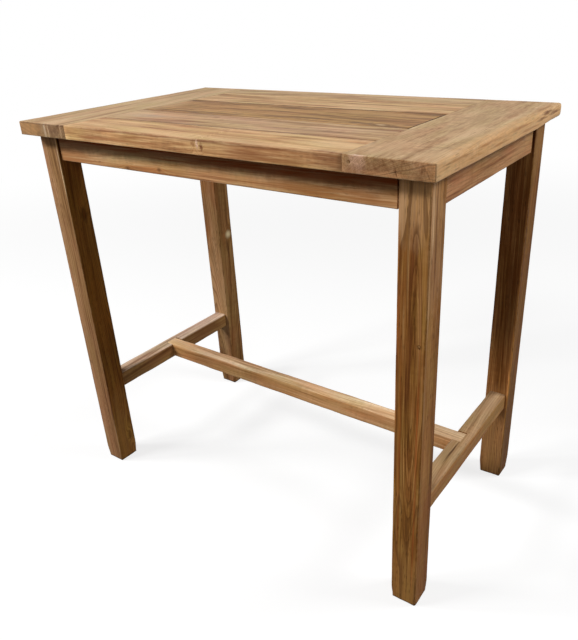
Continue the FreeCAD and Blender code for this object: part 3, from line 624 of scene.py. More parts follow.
clad(
    "top_board_rear", **TOP_SKIN,
    pale=(210, 179, 137), deep=(186, 150, 110), dark=(135, 101, 65), pith=(0.09, -0.1), lean=(-0.03, 0.02),
    ring=0.0044, streaks=1.9, sweep=0.7, streak_size=(0.22, 0.012), dashes=0.5, dash_size=2.0, seed=5.5,
    seams=(("Y", SEAM_REAR, 0.001, 0.5), ("X", JOINT, 0.0012, 0.3)))
clad(
    "end_board_left", **TOP_SKIN,
    pale=(210, 181, 140), deep=(188, 155, 114), dark=(143, 106, 69), pith=(0.09, -0.06), lean=(0.05, 0.02),
    ring=0.0046, bands=0.5, streaks=1.2, dashes=0.3, seed=8.2, end_shade=(0.62, 0.54, 0.46),
    patches=[
        *on_face("Y", FRONT, 6, (-560, 1095, 65, 35, 238, 190, 134, 95), (-455, 1092, 30, 30, 150, 120, 92, 80),
            (-491, 1092, 5.5, 40, 255, 236, 208, 100), (-477, 1092, 3.5, 40, 255, 226, 190, 90),
            (-425.5, 1092, 4, 40, 240, 206, 168, 85), (-414.5, 1092, 2.4, 40, 222, 186, 146, 70),
            (-505, 1107.8, 160, 2.6, 92, 58, 34, 85))])
clad(
    "end_board_right", **TOP_SKIN,
    pale=(204, 173, 133), deep=(180, 145, 105), dark=(134, 96, 60), pith=(-0.13, -0.03), lean=(0.05, 0.03),
    ring=0.006, bands=0.5, streaks=1.15, streak_size=(0.04, 0.007), dashes=0.35, dash_size=2.2, seed=3.4,
    lines=0.15, blotch=0.45, blotch_tint=(162, 130, 90), figure=0.75, drift=0.7, wobble=1.6,
    end_shade=(0.76, 0.62, 0.52), tones={"right": (1.22, 1.18, 1.12)},
    patches=[
        *on_face("Y", FRONT, 6, (443.5, 1098, 22, 30, 255, 222, 198, 75, 8),
            (480, 1082, 60, 16, 150, 108, 76, 50), (505, 1080, 70, 7, 246, 196, 146, 50)),
        *on_face("X", RIGHT, 6, (0, 1092, 700, 60, 224, 178, 124, 62, 26), (-270, 1099, 70, 3, 166, 116, 66, 75),
            (-190, 1088, 45, 3.4, 178, 128, 70, 60), (-120, 1100, 80, 3, 160, 108, 60, 80),
            (-60, 1087, 70, 3, 158, 108, 60, 75), (60, 1099, 80, 3.5, 156, 104, 56, 80),
            (130, 1086, 60, 3, 150, 96, 48, 90), (255, 1103, 50, 5, 96, 58, 26, 100, 10),
            (300, 1096, 50, 4.5, 104, 64, 30, 100, 10), (210, 1094, 45, 4, 110, 70, 32, 95, 8)),
        *on_face("Z", UP, 10, (588, 250, 7, 90, 132, 90, 48, 70), (500, 100, 60, 160, 170, 142, 104, 50),
            (460, -260, 40, 80, 208, 166, 128, 60), (545, -100, 30, 100, 214, 182, 142, 60),
            (575, -300, 30, 50, 216, 184, 142, 50), (505, -60, 6, 50, 150, 116, 80, 60),
            (490, 0, 5, 40, 148, 114, 78, 60), (535, 80, 6, 60, 150, 116, 80, 60),
            (560, 20, 5, 50, 150, 116, 78, 60), (515, -190, 6, 45, 156, 120, 82, 60))])
print("mixed", len(finishes), "finishes for the top")

# %% [markdown]
# ## Finishes for the frame
# The legs are a mid brown with dark streaks along them, the aprons a warm brown, and the stretchers an
# orange brown whose upper faces are painted paler and greyer, as painted light and sheen. All have pale,
# worn arrises, and along some leg arrises a painted highlight lies over the wear. Under the top, the front
# apron and the legs carry painted shade, the rear legs' forward faces carry the top's painted shadow, and
# the feet carry a painted contact shadow. The named numbers are the places of the legs' inner and outer
# faces, of the near and the far legs' front faces, of the front apron's face, of the stretchers' upper
# faces, and of the top's lower face.

# %% Mix the finishes of the legs, aprons and stretchers
LEG_IN, LEG_OUT, NEAR, FAR, APRON, TREAD, UNDER_TOP = 0.509, 0.576, -0.323, 0.256, -0.316, 0.304, 1.075
# The dark line at height 0 in the legs' skin is a painted contact shadow where the feet meet the floor.
LEG_SKIN = dict(
    bands=1.25, streaks=1.5, streak_size=(0.20, 0.0045), dashes=0.75, dash_size=1.4, lines=0.55, sweep=0.55,
    worn_tint=(206, 160, 110), worn=0.0015, worn_share=0.35, blotch=0.45, seams=(("Z", 0.0, 0.0085, 0.70),))
clad(
    "leg_front_left",
    pale=(191, 146, 105), deep=(162, 118, 78), dark=(106, 68, 40), pith=(0.05, 0.03), lean=(0.012, 0.02),
    # The right share paints shade on the leg's inner face, which looks under the table.
    seed=1.9, blotch_tint=(158, 116, 74), tones={"right": (0.79, 0.62, 0.25)},
    knots=[dict(place=(-LEG_IN, -0.281, 0.845), radius=0.0085, stretch=2.6, facing="X", eye=(136, 88, 50),
                eye_to=0.5, share=0.6, push=2.0, spread=3.8),
           dict(place=(-LEG_IN, -0.274, 0.08), radius=0.007, stretch=2.4, facing="X", eye=(156, 112, 70),
                eye_to=0.5, share=0.6, push=1.3, spread=3.0)],
    patches=[
        # Painted shade on the inner face beside the apron, under the top.
        *on_face("X", -LEG_IN, 4, (-317.5, 1045, 6, 60, 58, 34, 16, 100)),
        # A pale strip along the front arris: worn wood with a painted highlight over it.
        *on_face("X", -0.5108, 3.4, (-321.8, 985, 3.4, 100, 255, 222, 178, 95)),
        # In these rows the third is painted shade high on the inner face, under the top, and the fourth is painted
        # light low on it.
        *on_face("X", -LEG_IN, 4, (-283, 878, 11, 30, 206, 150, 104, 60), (-281, 845, 6, 18, 84, 48, 22, 80),
            (-289.5, 1000, 50, 90, 110, 64, 44, 55), (-289.5, 90, 50, 170, 214, 178, 160, 45),
            (-276, 100, 16, 55, 214, 176, 130, 70), (-270, 885, 12, 40, 206, 162, 110, 70),
            (-290, 600, 10, 140, 70, 42, 20, 40), (-286, 560, 50, 160, 226, 160, 96, 35))],
    **LEG_SKIN)
clad(
    "leg_front_right",
    pale=(188, 138, 78), deep=(152, 104, 47), dark=(84, 48, 15), pith=(0.004, 0.058), lean=(0.002, 0.006),
    ring=0.0056, wobble=0.6, seed=6.3, blotch_tint=(146, 86, 44), tones={"right": (0.98, 0.96, 0.98)},
    knots=[dict(place=(0.5618, NEAR, 0.7327), radius=0.0042, stretch=0.8, facing="Y", eye=(196, 146, 90),
                eye_to=0.8, share=0.95, push=0.6, spread=4.0),
           dict(place=(0.5485, NEAR, 0.62), radius=0.011, stretch=21.0, facing="Y", eye=(140, 92, 48),
                eye_to=0.02, share=0.0, push=3.2, spread=2.9)],
    patches=[
        *on_face("Y", NEAR, 20, (549, 940, 4.5, 55, 88, 46, 20, 90), (544, 865, 15, 60, 112, 62, 30, 55),
            (540, 785, 4.5, 50, 100, 58, 26, 70), (533, 900, 3, 110, 206, 156, 98, 70),
            (526, 760, 2.8, 80, 206, 156, 98, 60), (513, 660, 6, 360, 166, 92, 44, 60),
            (542.5, 660, 40, 150, 146, 86, 46, 22), (522, 350, 4.5, 340, 168, 90, 40, 65),
            (542.5, 50, 60, 140, 196, 148, 84, 35)),
        *on_face("X", LEG_OUT, 4, (-289.5, 900, 50, 120, 226, 182, 142, 28),
            (-289.5, 160, 50, 220, 146, 90, 28, 55)),
        # The sixth row here is painted light: the front face paler near its top, as the light falls off down the
        # leg.
        *on_face("Y", NEAR, 20, (564, 380, 3, 360, 182, 98, 46, 70), (560, 780, 7.5, 140, 182, 126, 82, 60),
            (518, 1000, 12, 75, 218, 176, 134, 55), (542.5, 260, 22, 100, 170, 118, 58, 25),
            (561.8, 728.3, 4.6, 2.6, 62, 34, 16, 100), (542.5, 1030, 60, 110, 214, 168, 122, 60, 100),
            (546, 930, 11, 80, 126, 74, 38, 35)),
        # The first three rows are a pale strip along the front arris, fading downwards: worn wood with a painted
        # highlight over it.
        *on_face("X", LEG_OUT, 4, (-311.5, 990, 6, 105, 248, 206, 156, 100),
            (-315.5, 830, 4.5, 120, 214, 170, 118, 90), (-317.5, 600, 3.5, 180, 186, 140, 92, 80),
            (-295.5, 950, 4.5, 170, 100, 60, 32, 90), (-277, 880, 4, 180, 196, 146, 98, 60),
            (-268, 760, 3, 200, 112, 68, 38, 60))],
    **LEG_SKIN)
clad(
    "leg_rear_left",
    pale=(176, 135, 95), deep=(149, 109, 70), dark=(96, 62, 35), pith=(-0.04, 0.05), lean=(0.01, 0.03), seed=9.1,
    # The right share paints shade on the leg's inner face, which looks under the table.
    blotch_tint=(160, 102, 56), tones={"right": (0.9, 0.86, 0.68)},
    knots=[dict(place=(-LEG_IN, 0.302, 0.612), radius=0.013, stretch=1.0, facing="X", eye=(255, 236, 204),
                eye_to=1.5, share=0.5, push=0.6, through=0.6)],
    patches=[
        # These two rows paint the top's shadow on the forward face: darker above, paler below.
        *on_face("Y", FAR, 20, (-542.5, 360, 70, 260, 220, 178, 130, 45),
            (-542.5, 900, 70, 220, 146, 90, 50, 40)),
        *on_face("X", -LEG_IN, 4, (292, 575, 8, 30, 96, 60, 32, 80))],
    **LEG_SKIN)
clad(
    "leg_rear_right",
    pale=(184, 132, 78), deep=(156, 104, 55), dark=(97, 55, 24), pith=(0.05, -0.04), lean=(0.02, 0.02), seed=3.7,
    # The right share paints shade on the leg's outer side face.
    blotch_tint=(130, 80, 40), tones={"right": (0.62, 0.6, 0.37)},
    patches=[
        # A painted highlight along the front arris of the side face.
        *on_face("X", 0.5738, 4.8, (257.8, 460, 4.8, 380, 255, 178, 104, 100)),
        *on_face("X", LEG_OUT, 4, (289.5, 60, 60, 240, 116, 68, 4, 85), (289.5, 1020, 50, 90, 226, 172, 132, 50)),
        # These two rows paint the top's shadow on the forward face: darker above, paler below.
        *on_face("Y", FAR, 20, (542.5, 740, 100, 440, 92, 44, 0, 72),
            (542.5, 120, 100, 200, 206, 160, 108, 36)),
        # Painted shade on the narrow strip of the forward face beside the apron, under the top.
        *on_face("X", 0.5712, 4.2, (256, 1040, 1.5, 60, 52, 18, 6, 100)),
        *on_face("Y", FAR, 10, (530, 900, 12, 120, 80, 42, 16, 60), (550, 620, 10, 140, 104, 60, 28, 60))],
    **LEG_SKIN)
clad(
    "apron_front",
    pale=(234, 194, 143), deep=(212, 165, 114), dark=(155, 107, 68), pith=(-0.06, 0.02), lean=(0.01, 0.02),
    # The dark band along UNDER_TOP is painted shade under the top's overhang.
    seed=2.2, streaks=1.2, streak_size=(0.2, 0.006), seams=(("Z", UNDER_TOP, 0.046, 0.48),), blotch=0.5,
    blotch_tint=(206, 140, 84),
    knots=[dict(place=(-0.2446, APRON, 1.009), radius=0.006, stretch=1.4, facing="Y", eye=(120, 76, 44),
                share=0.7),
           dict(place=(-0.1322, APRON, 1.0167), radius=0.005, stretch=1.4, facing="Y", eye=(120, 76, 44),
                share=0.7)],
    patches=[
        # The second row darkens the painted shade under the top towards the right end, and the third makes that
        # painted shade redder along the whole apron.
        *on_face("Y", APRON, 10, (360, 1016, 200, 30, 164, 108, 60, 85), (380, 1056, 200, 22, 96, 58, 30, 60),
            (0, 1064, 1200, 26, 158, 64, 0, 100, 30), (-460, 1020, 100, 50, 196, 132, 84, 50),
            (-420, 1010, 160, 20, 176, 118, 74, 85), (-180, 1018, 120, 12, 196, 128, 74, 50))])
clad(
    "apron_rear",
    pale=(216, 172, 122), deep=(190, 144, 96), dark=(134, 92, 56), pith=(0.05, 0.03), lean=(0.01, 0.02),
    seed=7.2)
clad(
    "apron_left",
    pale=(206, 162, 114), deep=(180, 136, 90), dark=(126, 86, 52), pith=(0.05, 0.03), lean=(0.02, 0.02),
    seed=5.9)
clad(
    "apron_right",
    pale=(199, 154, 107), deep=(176, 129, 86), dark=(122, 80, 49), pith=(0.06, 0.02), lean=(0.02, 0.02),
    seed=4.8, bands=1.0, streaks=1.8, blotch=0.5, blotch_tint=(180, 112, 74))
clad(
    "stretcher_left",
    pale=(200, 156, 106), deep=(174, 130, 82), dark=(118, 78, 44), pith=(0.04, -0.03), lean=(0.02, 0.02),
    # The up shares paint the upper face paler and greyer, as painted light and sheen.
    seed=8.8, streaks=0.8, tones={"up": (1.62, 2.2, 3.8), "right": (0.93, 0.89, 0.8)},
    patches=[
        *on_face("X", -0.521, 10, (150, 278, 130, 50, 128, 84, 52, 75)),
        *on_face("Z", TREAD, 6, (-545, 150, 50, 130, 196, 150, 110, 30))])
clad(
    "stretcher_right",
    pale=(193, 150, 99), deep=(168, 124, 76), dark=(113, 76, 42), pith=(0.05, -0.02), lean=(0.02, 0.02),
    # The up shares paint the upper face paler and greyer, as painted light and sheen.
    seed=1.1, streaks=0.7, bands=0.8, tones={"up": (0.96, 1.12, 1.46), "right": (1.0, 0.95, 0.82)},
    patches=[
        *on_face("X", 0.569, 4, (0, 261, 260, 4.5, 178, 100, 52, 70), (-50, 296, 200, 4, 170, 104, 60, 50)),
        *on_face("Z", TREAD, 10, (535, -160, 14, 60, 208, 160, 104, 50), (545, -75, 3.5, 55, 84, 52, 30, 95, 4))])
clad(
    "stretcher_centre",
    pale=(234, 186, 133), deep=(208, 155, 101), dark=(154, 103, 62), pith=(-0.03, -0.05), lean=(0.02, 0.01),
    seed=6.6, streaks=0.9, streak_size=(0.16, 0.0045), blotch=0.4, blotch_tint=(206, 136, 78),
    # The up shares paint the upper face paler and greyer, as painted light and sheen.
    tones={"up": (1.27, 1.64, 2.26)},
    patches=[
        *on_face("Z", TREAD, 10, (500, 0, 130, 60, 172, 128, 86, 90))])
SEEN = list(finishes)
print("the frame's finishes bring the total to", len(finishes))

# %% [markdown]
# ## Wood that nobody looks at, pegs and screws
# The rails, braces, buttons and splines under the top are plain sawn teak. The pegs are turned dowels,
# darker because their end grain shows. The screws are dull plated steel, with the fine turning marks
# that a lathe leaves.

# %% Mix the hidden finishes
PEG_WOOD = dict(pale=(150, 110, 74), deep=(128, 90, 58), dark=(84, 54, 32))
SAWN_WOOD = dict(pale=(188, 148, 108), deep=(162, 122, 84), dark=(108, 76, 48))
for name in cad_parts:
    if name in finishes or name == "top_button_screws":
        continue
    is_peg = "pegs" in name
    run = "Z" if is_peg else "X" if "spline" in name or "brace" in name else "Y"
    finishes[name] = teak(name, run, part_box(name), seed=len(finishes) * 1.37, worn_share=0.25,
                          **(PEG_WOOD if is_peg else SAWN_WOOD))

steel, shader = new_material("screw_steel")
point = add("TexCoord").outputs["Object"]
turning = cloud(stretch(point, (60.0, 60.0, 3000.0)))
bloom = fade(cloud(point, scale=400.0, detail=3.0), 0.4, 0.7)
feed(shader.inputs["Base Color"], tint(bloom, paint(178, 176, 170), paint(128, 124, 116)))
feed(shader.inputs["Roughness"], times(turning, 0.25, 0.30))
shader.inputs["Metallic"].default_value = 1.0
feed(shader.inputs["Normal"], bump_of(turning, 0.3, 0.0001))
finishes["top_button_screws"] = steel
print("finishes in all:", len(finishes))

# %% [markdown]
# ## Give the seen pieces a maker's hand
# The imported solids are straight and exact. Real teak furniture is planed by hand, moves as it dries, and
# wears. So each piece that is seen is made again from a copy of its solid, which keeps its joints. The
# copy's loose triangles are merged, and planes cut across it, to give the skin enough points to move. The
# cuts lie at even steps along the piece, and close together beside an arris that will be rounded.

# %% Helpers: copy a solid and cut its skin
LONG_STEP, SHORT_STEP, WORTH_CUTTING = 0.022, 0.020, 0.06


def copy_of(node):
    """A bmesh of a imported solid, with its loose triangles merged."""
    shape = bmesh.new()
    shape.from_mesh(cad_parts[node].data)
    bmesh.ops.remove_doubles(shape, verts=shape.verts, dist=1e-6)
    bmesh.ops.dissolve_limit(shape, angle_limit=math.radians(0.5), verts=shape.verts, edges=shape.edges,
                             delimit={"NORMAL"})
    return shape


def slice_skin(shape, place, facing, faces=None, snap=1e-6):
    """Cuts the skin with one plane. With faces given, only those are cut."""
    if faces is None:
        geometry = shape.verts[:] + shape.edges[:] + shape.faces[:]
    else:
        geometry = list({v for f in faces for v in f.verts}) + list({e for f in faces for e in f.edges}) + faces
    bmesh.ops.bisect_plane(shape, geom=geometry, plane_co=place, plane_no=facing, dist=snap)


def cut_at(shape, axis, places, wanted=None):
    """Cuts the skin across one axis at each place. With a test given, only the wanted faces are cut."""
    for place in places:
        spot, facing = [0.0] * 3, [0.0] * 3
        spot[axis], facing[axis] = place, 1.0
        slice_skin(shape, spot, facing, None if wanted is None else [f for f in shape.faces if wanted(f)])


def even_places(low, high, step):
    count = max(2, round((high - low) / step))
    return [low + (high - low) * k / count for k in range(1, count)]


print("leg length gives", len(even_places(0, UNDER_TOP, LONG_STEP)), "cuts")

# %% [markdown]
# An arris is where two faces meet. `soften` rounds one. Every point of the skin that lies in the square
# corner outside a rolling ball is pulled onto the ball. The ball's radius wavers along the arris with a
# smooth noise, as no hand sands evenly, and it may swell from one place to another, where bark once was.

# %% Helpers: find a side and soften an arris
ARRIS_WAVER = 0.45


def side_of(low, high, way):
    """The axis, the sign and the place of a box's named side."""
    axis, sign = LOOKING[way]
    return axis, sign, high[axis] if sign > 0 else low[axis]


def soften(shape, low, high, seed, side, other, radius, swell=None):
    """Rounds the arris between two sides. A swell is where it starts, where it is full, and its radius."""
    (axis_a, sign_a, face_a), (axis_b, sign_b, face_b) = (side_of(low, high, way) for way in (side, other))
    along = 3 - axis_a - axis_b
    widest = max(radius, swell[2] if swell else 0.0)
    for vert in shape.verts:
        in_a, in_b = (face_a - vert.co[axis_a]) * sign_a, (face_b - vert.co[axis_b]) * sign_b
        if max(in_a, in_b) > widest * 1.6 or min(in_a, in_b) < -1e-5:
            continue
        here = vert.co[along]
        slow = noise.noise(Vector((here * 13.0, seed, axis_a * 3.1 + sign_b)))
        quick = noise.noise(Vector((here * 75.0, seed + 7.0, axis_b * 2.3 + sign_a)))
        ball = radius * (1.0 + ARRIS_WAVER * (0.9 * slow + 0.5 * quick))
        if swell:
            grown = min(1.0, max(0.0, (here - swell[0]) / (swell[1] - swell[0])))
            ball += (swell[2] - radius) * grown * grown * (3 - 2 * grown)
        if in_a >= ball or in_b >= ball:
            continue
        off_a, off_b = ball - in_a, ball - in_b
        far = math.hypot(off_a, off_b)
        if far > ball:
            vert.co[axis_a] = face_a - sign_a * (ball - off_a * ball / far)
            vert.co[axis_b] = face_b - sign_b * (ball - off_b * ball / far)


print("arrises can be softened")

# %% [markdown]
# Wood shrinks, so joints open. `draw_back` moves the skin that lies in one plane, such as the edge of a
# board or the shoulder of a tenon, a little inwards. `fill_joint` lifts the fine bevel beside a joint that
# hardly shows. `hand_wave` moves the whole skin inwards by a few tenths of a millimetre in a slow wave,
# which bends the reflections as a hand-planed face does.

# %% Helpers: draw back a joint, fill one, and wave a skin
JOINT_REACH, JOINT_WAVER = 0.0013, 0.35
BEVEL, WAX_DEPTH = 0.0014, 0.0001
WAVE_DEPTH, WAVE_REACH = 0.0004, 0.004


def draw_back(shape, seed, axis_name, place, amount, towards):
    axis = "XYZ".index(axis_name)
    for vert in shape.verts:
        if abs(vert.co[axis] - place) <= JOINT_REACH:
            slow = noise.noise(vert.co * 16.0 + Vector((seed, seed, 0)))
            vert.co[axis] += towards * amount * (1.0 + JOINT_WAVER * slow)


def fill_joint(shape, place):
    """Wax and dust fill the fine bevel beside a joint that hardly shows."""
    for vert in shape.verts:
        if abs(vert.co.x - place) < BEVEL and 0.0 < UP - vert.co.z < BEVEL:
            vert.co.z = UP - WAX_DEPTH


def hand_wave(shape, low, high, seed):
    centre = (low + high) / 2
    for vert in shape.verts:
        at = vert.co.copy()
        slow = 0.5 + 0.5 * noise.noise(at * 9.0 + Vector((seed, 0, 0)))
        for k in range(3):
            gap = min(at[k] - low[k], high[k] - at[k])
            if gap < WAVE_REACH:
                inwards = 1.0 if centre[k] > at[k] else -1.0
                vert.co[k] += WAVE_DEPTH * slow * (1.0 - gap / WAVE_REACH) * inwards


print("joints can open")

# %% [markdown]
# Two flaws are cut into the skin itself, because they have depth. `hollow` makes a small void, such as a
# lost knot: the faces about it are cut into a fine net, and the net is pushed in. `split_open` makes a
# drying crack: three close cuts along a line, of which the middle one is pushed in and tapers to its ends.

# %% Helpers: a void and a crack
SAME_FACE = 0.002
NET = (-1.3, -1.0, -0.75, -0.5, -0.25, 0.0, 0.25, 0.5, 0.75, 1.0, 1.3)


def lies_at(face, axis, sign, level):
    """Whether a face looks along an axis, and lies at a level there."""
    return face.normal[axis] * sign > 0.8 and abs(face.calc_center_bounds()[axis] - level) < SAME_FACE


def hollow(shape, place, facing, half_sizes, deep, seed):
    axis, sign = LOOKING[facing]
    others = [(k, half) for k, half in zip([k for k in range(3) if k != axis], half_sizes)]

    def near(face):
        return lies_at(face, axis, sign, place[axis]) and all(
            min(v.co[k] for v in face.verts) < place[k] + 1.5 * half
            and max(v.co[k] for v in face.verts) > place[k] - 1.5 * half for k, half in others)
    for k, half in others:
        cut_at(shape, k, [place[k] + half * t for t in NET], near)
    for vert in shape.verts:
        if abs(vert.co[axis] - place[axis]) > SAME_FACE:
            continue
        away = math.hypot(*((vert.co[k] - place[k]) / half for k, half in others))
        away += 0.35 * noise.noise(vert.co * 420.0 + Vector((seed, 0, 0)))
        if away < 1.0:
            vert.co[axis] -= sign * deep * min(1.0, 2.2 * (1.0 - away))


def split_open(shape, start, end, facing, wide, deep):
    axis, sign = LOOKING[facing]
    start, end = Vector(start), Vector(end)
    line = (end - start).normalized()
    look = Vector((0, 0, 0))
    look[axis] = sign
    side = look.cross(line)
    middle, reach = (start + end) / 2, (end - start).length / 2

    def near():
        faces = []
        for face in shape.faces:
            aside = [abs((v.co - middle).dot(side)) for v in face.verts]
            along = [(v.co - middle).dot(line) for v in face.verts]
            if (lies_at(face, axis, sign, start[axis]) and min(aside) < 0.03
                    and min(along) < reach * 1.1 and max(along) > -reach * 1.1):
                faces.append(face)
        return faces
    for k in range(9):
        slice_skin(shape, start.lerp(end, k / 8), line, near())
    for shift in (-wide, 0.0, wide):
        slice_skin(shape, middle + side * shift, side, near(), snap=1e-7)
    for vert in shape.verts:
        off = vert.co - middle
        if abs(off.dot(side)) < wide * 0.3 and abs(off.dot(line)) < reach and abs(off.dot(look)) < SAME_FACE:
            vert.co -= look * deep * (1.0 - (off.dot(line) / reach) ** 2)


print("voids and cracks can be cut")

# %% [markdown]
# A finished bmesh becomes a piece that rides on the table's one body and stands for its solid. Its faces
# are smooth but for the edges that turn by more than a given angle.

# %% Helpers: make an object and finish a piece
SHARP_FROM = 32


def make_object(shape, name, finish):
    """A smooth object of a bmesh, with one finish."""
    bmesh.ops.recalc_face_normals(shape, faces=shape.faces)
    mesh = bpy.data.meshes.new(name)
    shape.to_mesh(mesh)
    shape.free()
    mesh.materials.append(finish)
    mesh.shade_smooth()
    made = bpy.data.objects.new(name, mesh)
    scene.collection.objects.link(made)
    return made


def finish_piece(shape, node):
    bmesh.ops.triangulate(shape, faces=[f for f in shape.faces if len(f.verts) > 4])
    piece = make_object(shape, node + "_dressed", finishes[node])
    piece.data.set_sharp_from_angle(angle=math.radians(SHARP_FROM))
    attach(piece, "root")
    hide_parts(node)
    return piece


print("pieces can be finished")

# %% [markdown]
# Each seen piece has a list of the arrises that show, with the radius that hands and feet have given them.
# The right end board is a slab from the outside of its tree: its outer edge is rounded like the bark that
# it was cut beside. The legs are rubbed round, and their feet are broken by years of being dragged.

# %% Say how round each arris is, in metres
ENDS, FLANKS, FACES = ("left", "right"), ("front", "back"), ("up", "down")


def each_arris(first, second, radius, *swell):
    """The arrises between every side in one list and every side in another."""
    return [(a, b, radius, *swell) for a in first for b in second]


FRONT_LOW, BACK_UP, BACK_LOW = ("front", "down", 0.0022), ("back", "up", 0.0024), ("back", "down", 0.0022)
RIM = [("front", "up", 0.0024), FRONT_LOW, BACK_UP, BACK_LOW]
ARRISES = {
    "top_board_front": [("front", "up", 0.0012), FRONT_LOW],
    "top_board_rear": [BACK_UP, BACK_LOW],
    "end_board_left": [
        *RIM, ("left", "up", 0.0050), ("left", "down", 0.0035), ("left", "front", 0.0030), ("left", "back", 0.0040)],
    "end_board_right": [
        *RIM, ("right", "up", 0.0022, (-0.358, -0.22, 0.0095)), ("right", "down", 0.0035, (0.17, 0.31, 0.0135)),
        ("right", "front", 0.0012), ("right", "back", 0.0050)],
    "leg": each_arris(FLANKS, ENDS, 0.0030, (0.045, 0.0, 0.012)) + each_arris(FLANKS + ENDS, ["down"], 0.0085),
    "leg_rear_right": (each_arris(FLANKS, ENDS, 0.0030, (0.050, 0.0, 0.016))
                       + each_arris(FLANKS + ENDS, ["down"], 0.0110)),
    "apron_front": [("front", "down", 0.0030), ("back", "down", 0.0020)],
    "apron_rear": [("front", "down", 0.0020), ("back", "down", 0.0030)],
    "apron_left": [("left", "down", 0.0030), ("right", "down", 0.0020)],
    "apron_right": [("left", "down", 0.0020), ("right", "down", 0.0030)],
    "stretcher_left": each_arris(ENDS, FACES, 0.0060),
    "stretcher_right": each_arris(ENDS, FACES, 0.0060),
    "stretcher_centre": each_arris(FLANKS, FACES, 0.0060),
}


def arrises_of(node):
    return ARRISES.get(node, ARRISES.get(node.split("_")[0], []))


print("arrises to soften:", sum(len(arrises_of(n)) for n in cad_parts))

# %% Say which joints have opened, by how much and which way
EDGE = 0.0004
OPENED = {
    "top_board_front": [("Y", SEAM_FRONT - EDGE, 0.0004, -1)],
    "top_board_front_middle": [("Y", SEAM_FRONT + EDGE, 0.0004, 1), ("Y", SEAM_FRONT_MIDDLE - EDGE, 0.0005, -1)],
    "top_board_centre": [("Y", SEAM_FRONT_MIDDLE + EDGE, 0.0005, 1), ("Y", SEAM_REAR_MIDDLE - EDGE, 0.0019, -1),
                         ("X", JOINT, 0.0020, -1)],
    "top_board_rear_middle": [("Y", SEAM_REAR_MIDDLE + EDGE, 0.0015, 1), ("X", JOINT, 0.0005, -1)],
    "apron_front": [("X", LEG_IN, 0.0058, -1), ("X", -LEG_IN, 0.0040, 1)],
    "apron_right": [("Y", FAR, 0.0040, -1)],
}
FILLED = {
    "end_board_left": [-JOINT], "end_board_right": [JOINT], "top_board_front": [-JOINT, JOINT],
    "top_board_front_middle": [-JOINT, JOINT], "top_board_centre": [-JOINT], "top_board_rear_middle": [-JOINT],
    "top_board_rear": [-JOINT, JOINT],
}
for node, moves in OPENED.items():
    print(node, "opens by", [round(amount * 1000, 1) for _, _, amount, _ in moves], "mm")

# %% Make the seen pieces again
ARRIS_CUTS, SWELL_CUTS = (0.35, 0.75, 1.2), (0.2, 0.45, 0.7, 1.0)
FOOT_CUTS = (0.0015, 0.0055, 0.012, 0.018, 0.026, 0.035, 0.048)
for order, node in enumerate(SEEN):
    low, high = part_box(node)
    shape = copy_of(node)
    for axis in range(3):
        if high[axis] - low[axis] > WORTH_CUTTING:
            step = LONG_STEP if axis == long_axis(low, high) else SHORT_STEP
            cut_at(shape, axis, even_places(low[axis], high[axis], step))
    for side, other, radius, *swell in arrises_of(node):
        depths = [radius * t for t in ARRIS_CUTS] + [full * t for *_, full in swell for t in SWELL_CUTS]
        for way in (side, other):
            axis, sign, face = side_of(low, high, way)
            cut_at(shape, axis, [face - sign * depth for depth in depths])
    if node.startswith("leg"):
        cut_at(shape, 2, FOOT_CUTS)
    if node == "end_board_right":
        hollow(shape, (0.4260, FRONT, 1.0955), "front", (0.0030, 0.0042), 0.0050, seed=2.0)
        split_open(shape, (0.5745, FRONT, 1.1065), (0.5900, FRONT, 1.0790), "front", 0.00045, 0.0030)
        split_open(shape, (0.5230, FRONT, 1.0895), (0.5250, FRONT, 1.0780), "front", 0.00060, 0.0030)
    for arris in arrises_of(node):
        soften(shape, low, high, order * 3.1, *arris)
    for move in OPENED.get(node, []):
        draw_back(shape, order, *move)
    for place in FILLED.get(node, []):
        fill_joint(shape, place)
    hand_wave(shape, low, high, order * 3.1)
    piece = finish_piece(shape, node)
    print(node, "has", len(piece.data.polygons), "faces")

# %% [markdown]
# Rails and braces are screwed from below and from inside. A screw's head is a low dome, turned on a lathe,
# with a small pit at its middle where the driver fits. Each rail has one screw in every board that it
# holds flat, and each brace has two, in the face that looks to the middle of the table.

# %% Drive the screws of the rails and braces
HEAD = 0.0042
UNDER_EACH_BOARD = (-0.265, -0.162, 0.0025, 0.1746, 0.270)


def nodes_called(start):
    return [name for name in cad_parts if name.startswith(start)]


def screw_heads(name, spots):
    """One piece of several heads. A spot is its place and the direction that the head looks in."""
    shape = bmesh.new()
    flat = Matrix.Diagonal((1.0, 1.0, 0.34, 1.0))
    for place, facing in spots:
        made = bmesh.ops.create_uvsphere(shape, u_segments=20, v_segments=12, radius=HEAD)["verts"]
        bmesh.ops.delete(shape, geom=[v for v in made if v.co.z < -1e-6], context="VERTS")
        dome = [v for v in made if v.is_valid]
        for vert in dome:
            if math.hypot(vert.co.x, vert.co.y) < HEAD * 0.3:
                vert.co.z -= HEAD * 0.9
        turn = Vector(facing).to_track_quat("Z", "Y").to_matrix().to_4x4()
        bmesh.ops.transform(shape, matrix=Matrix.Translation(place) @ turn @ flat, verts=dome)
    piece = make_object(shape, name, steel)
    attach(piece, "root")
    return piece


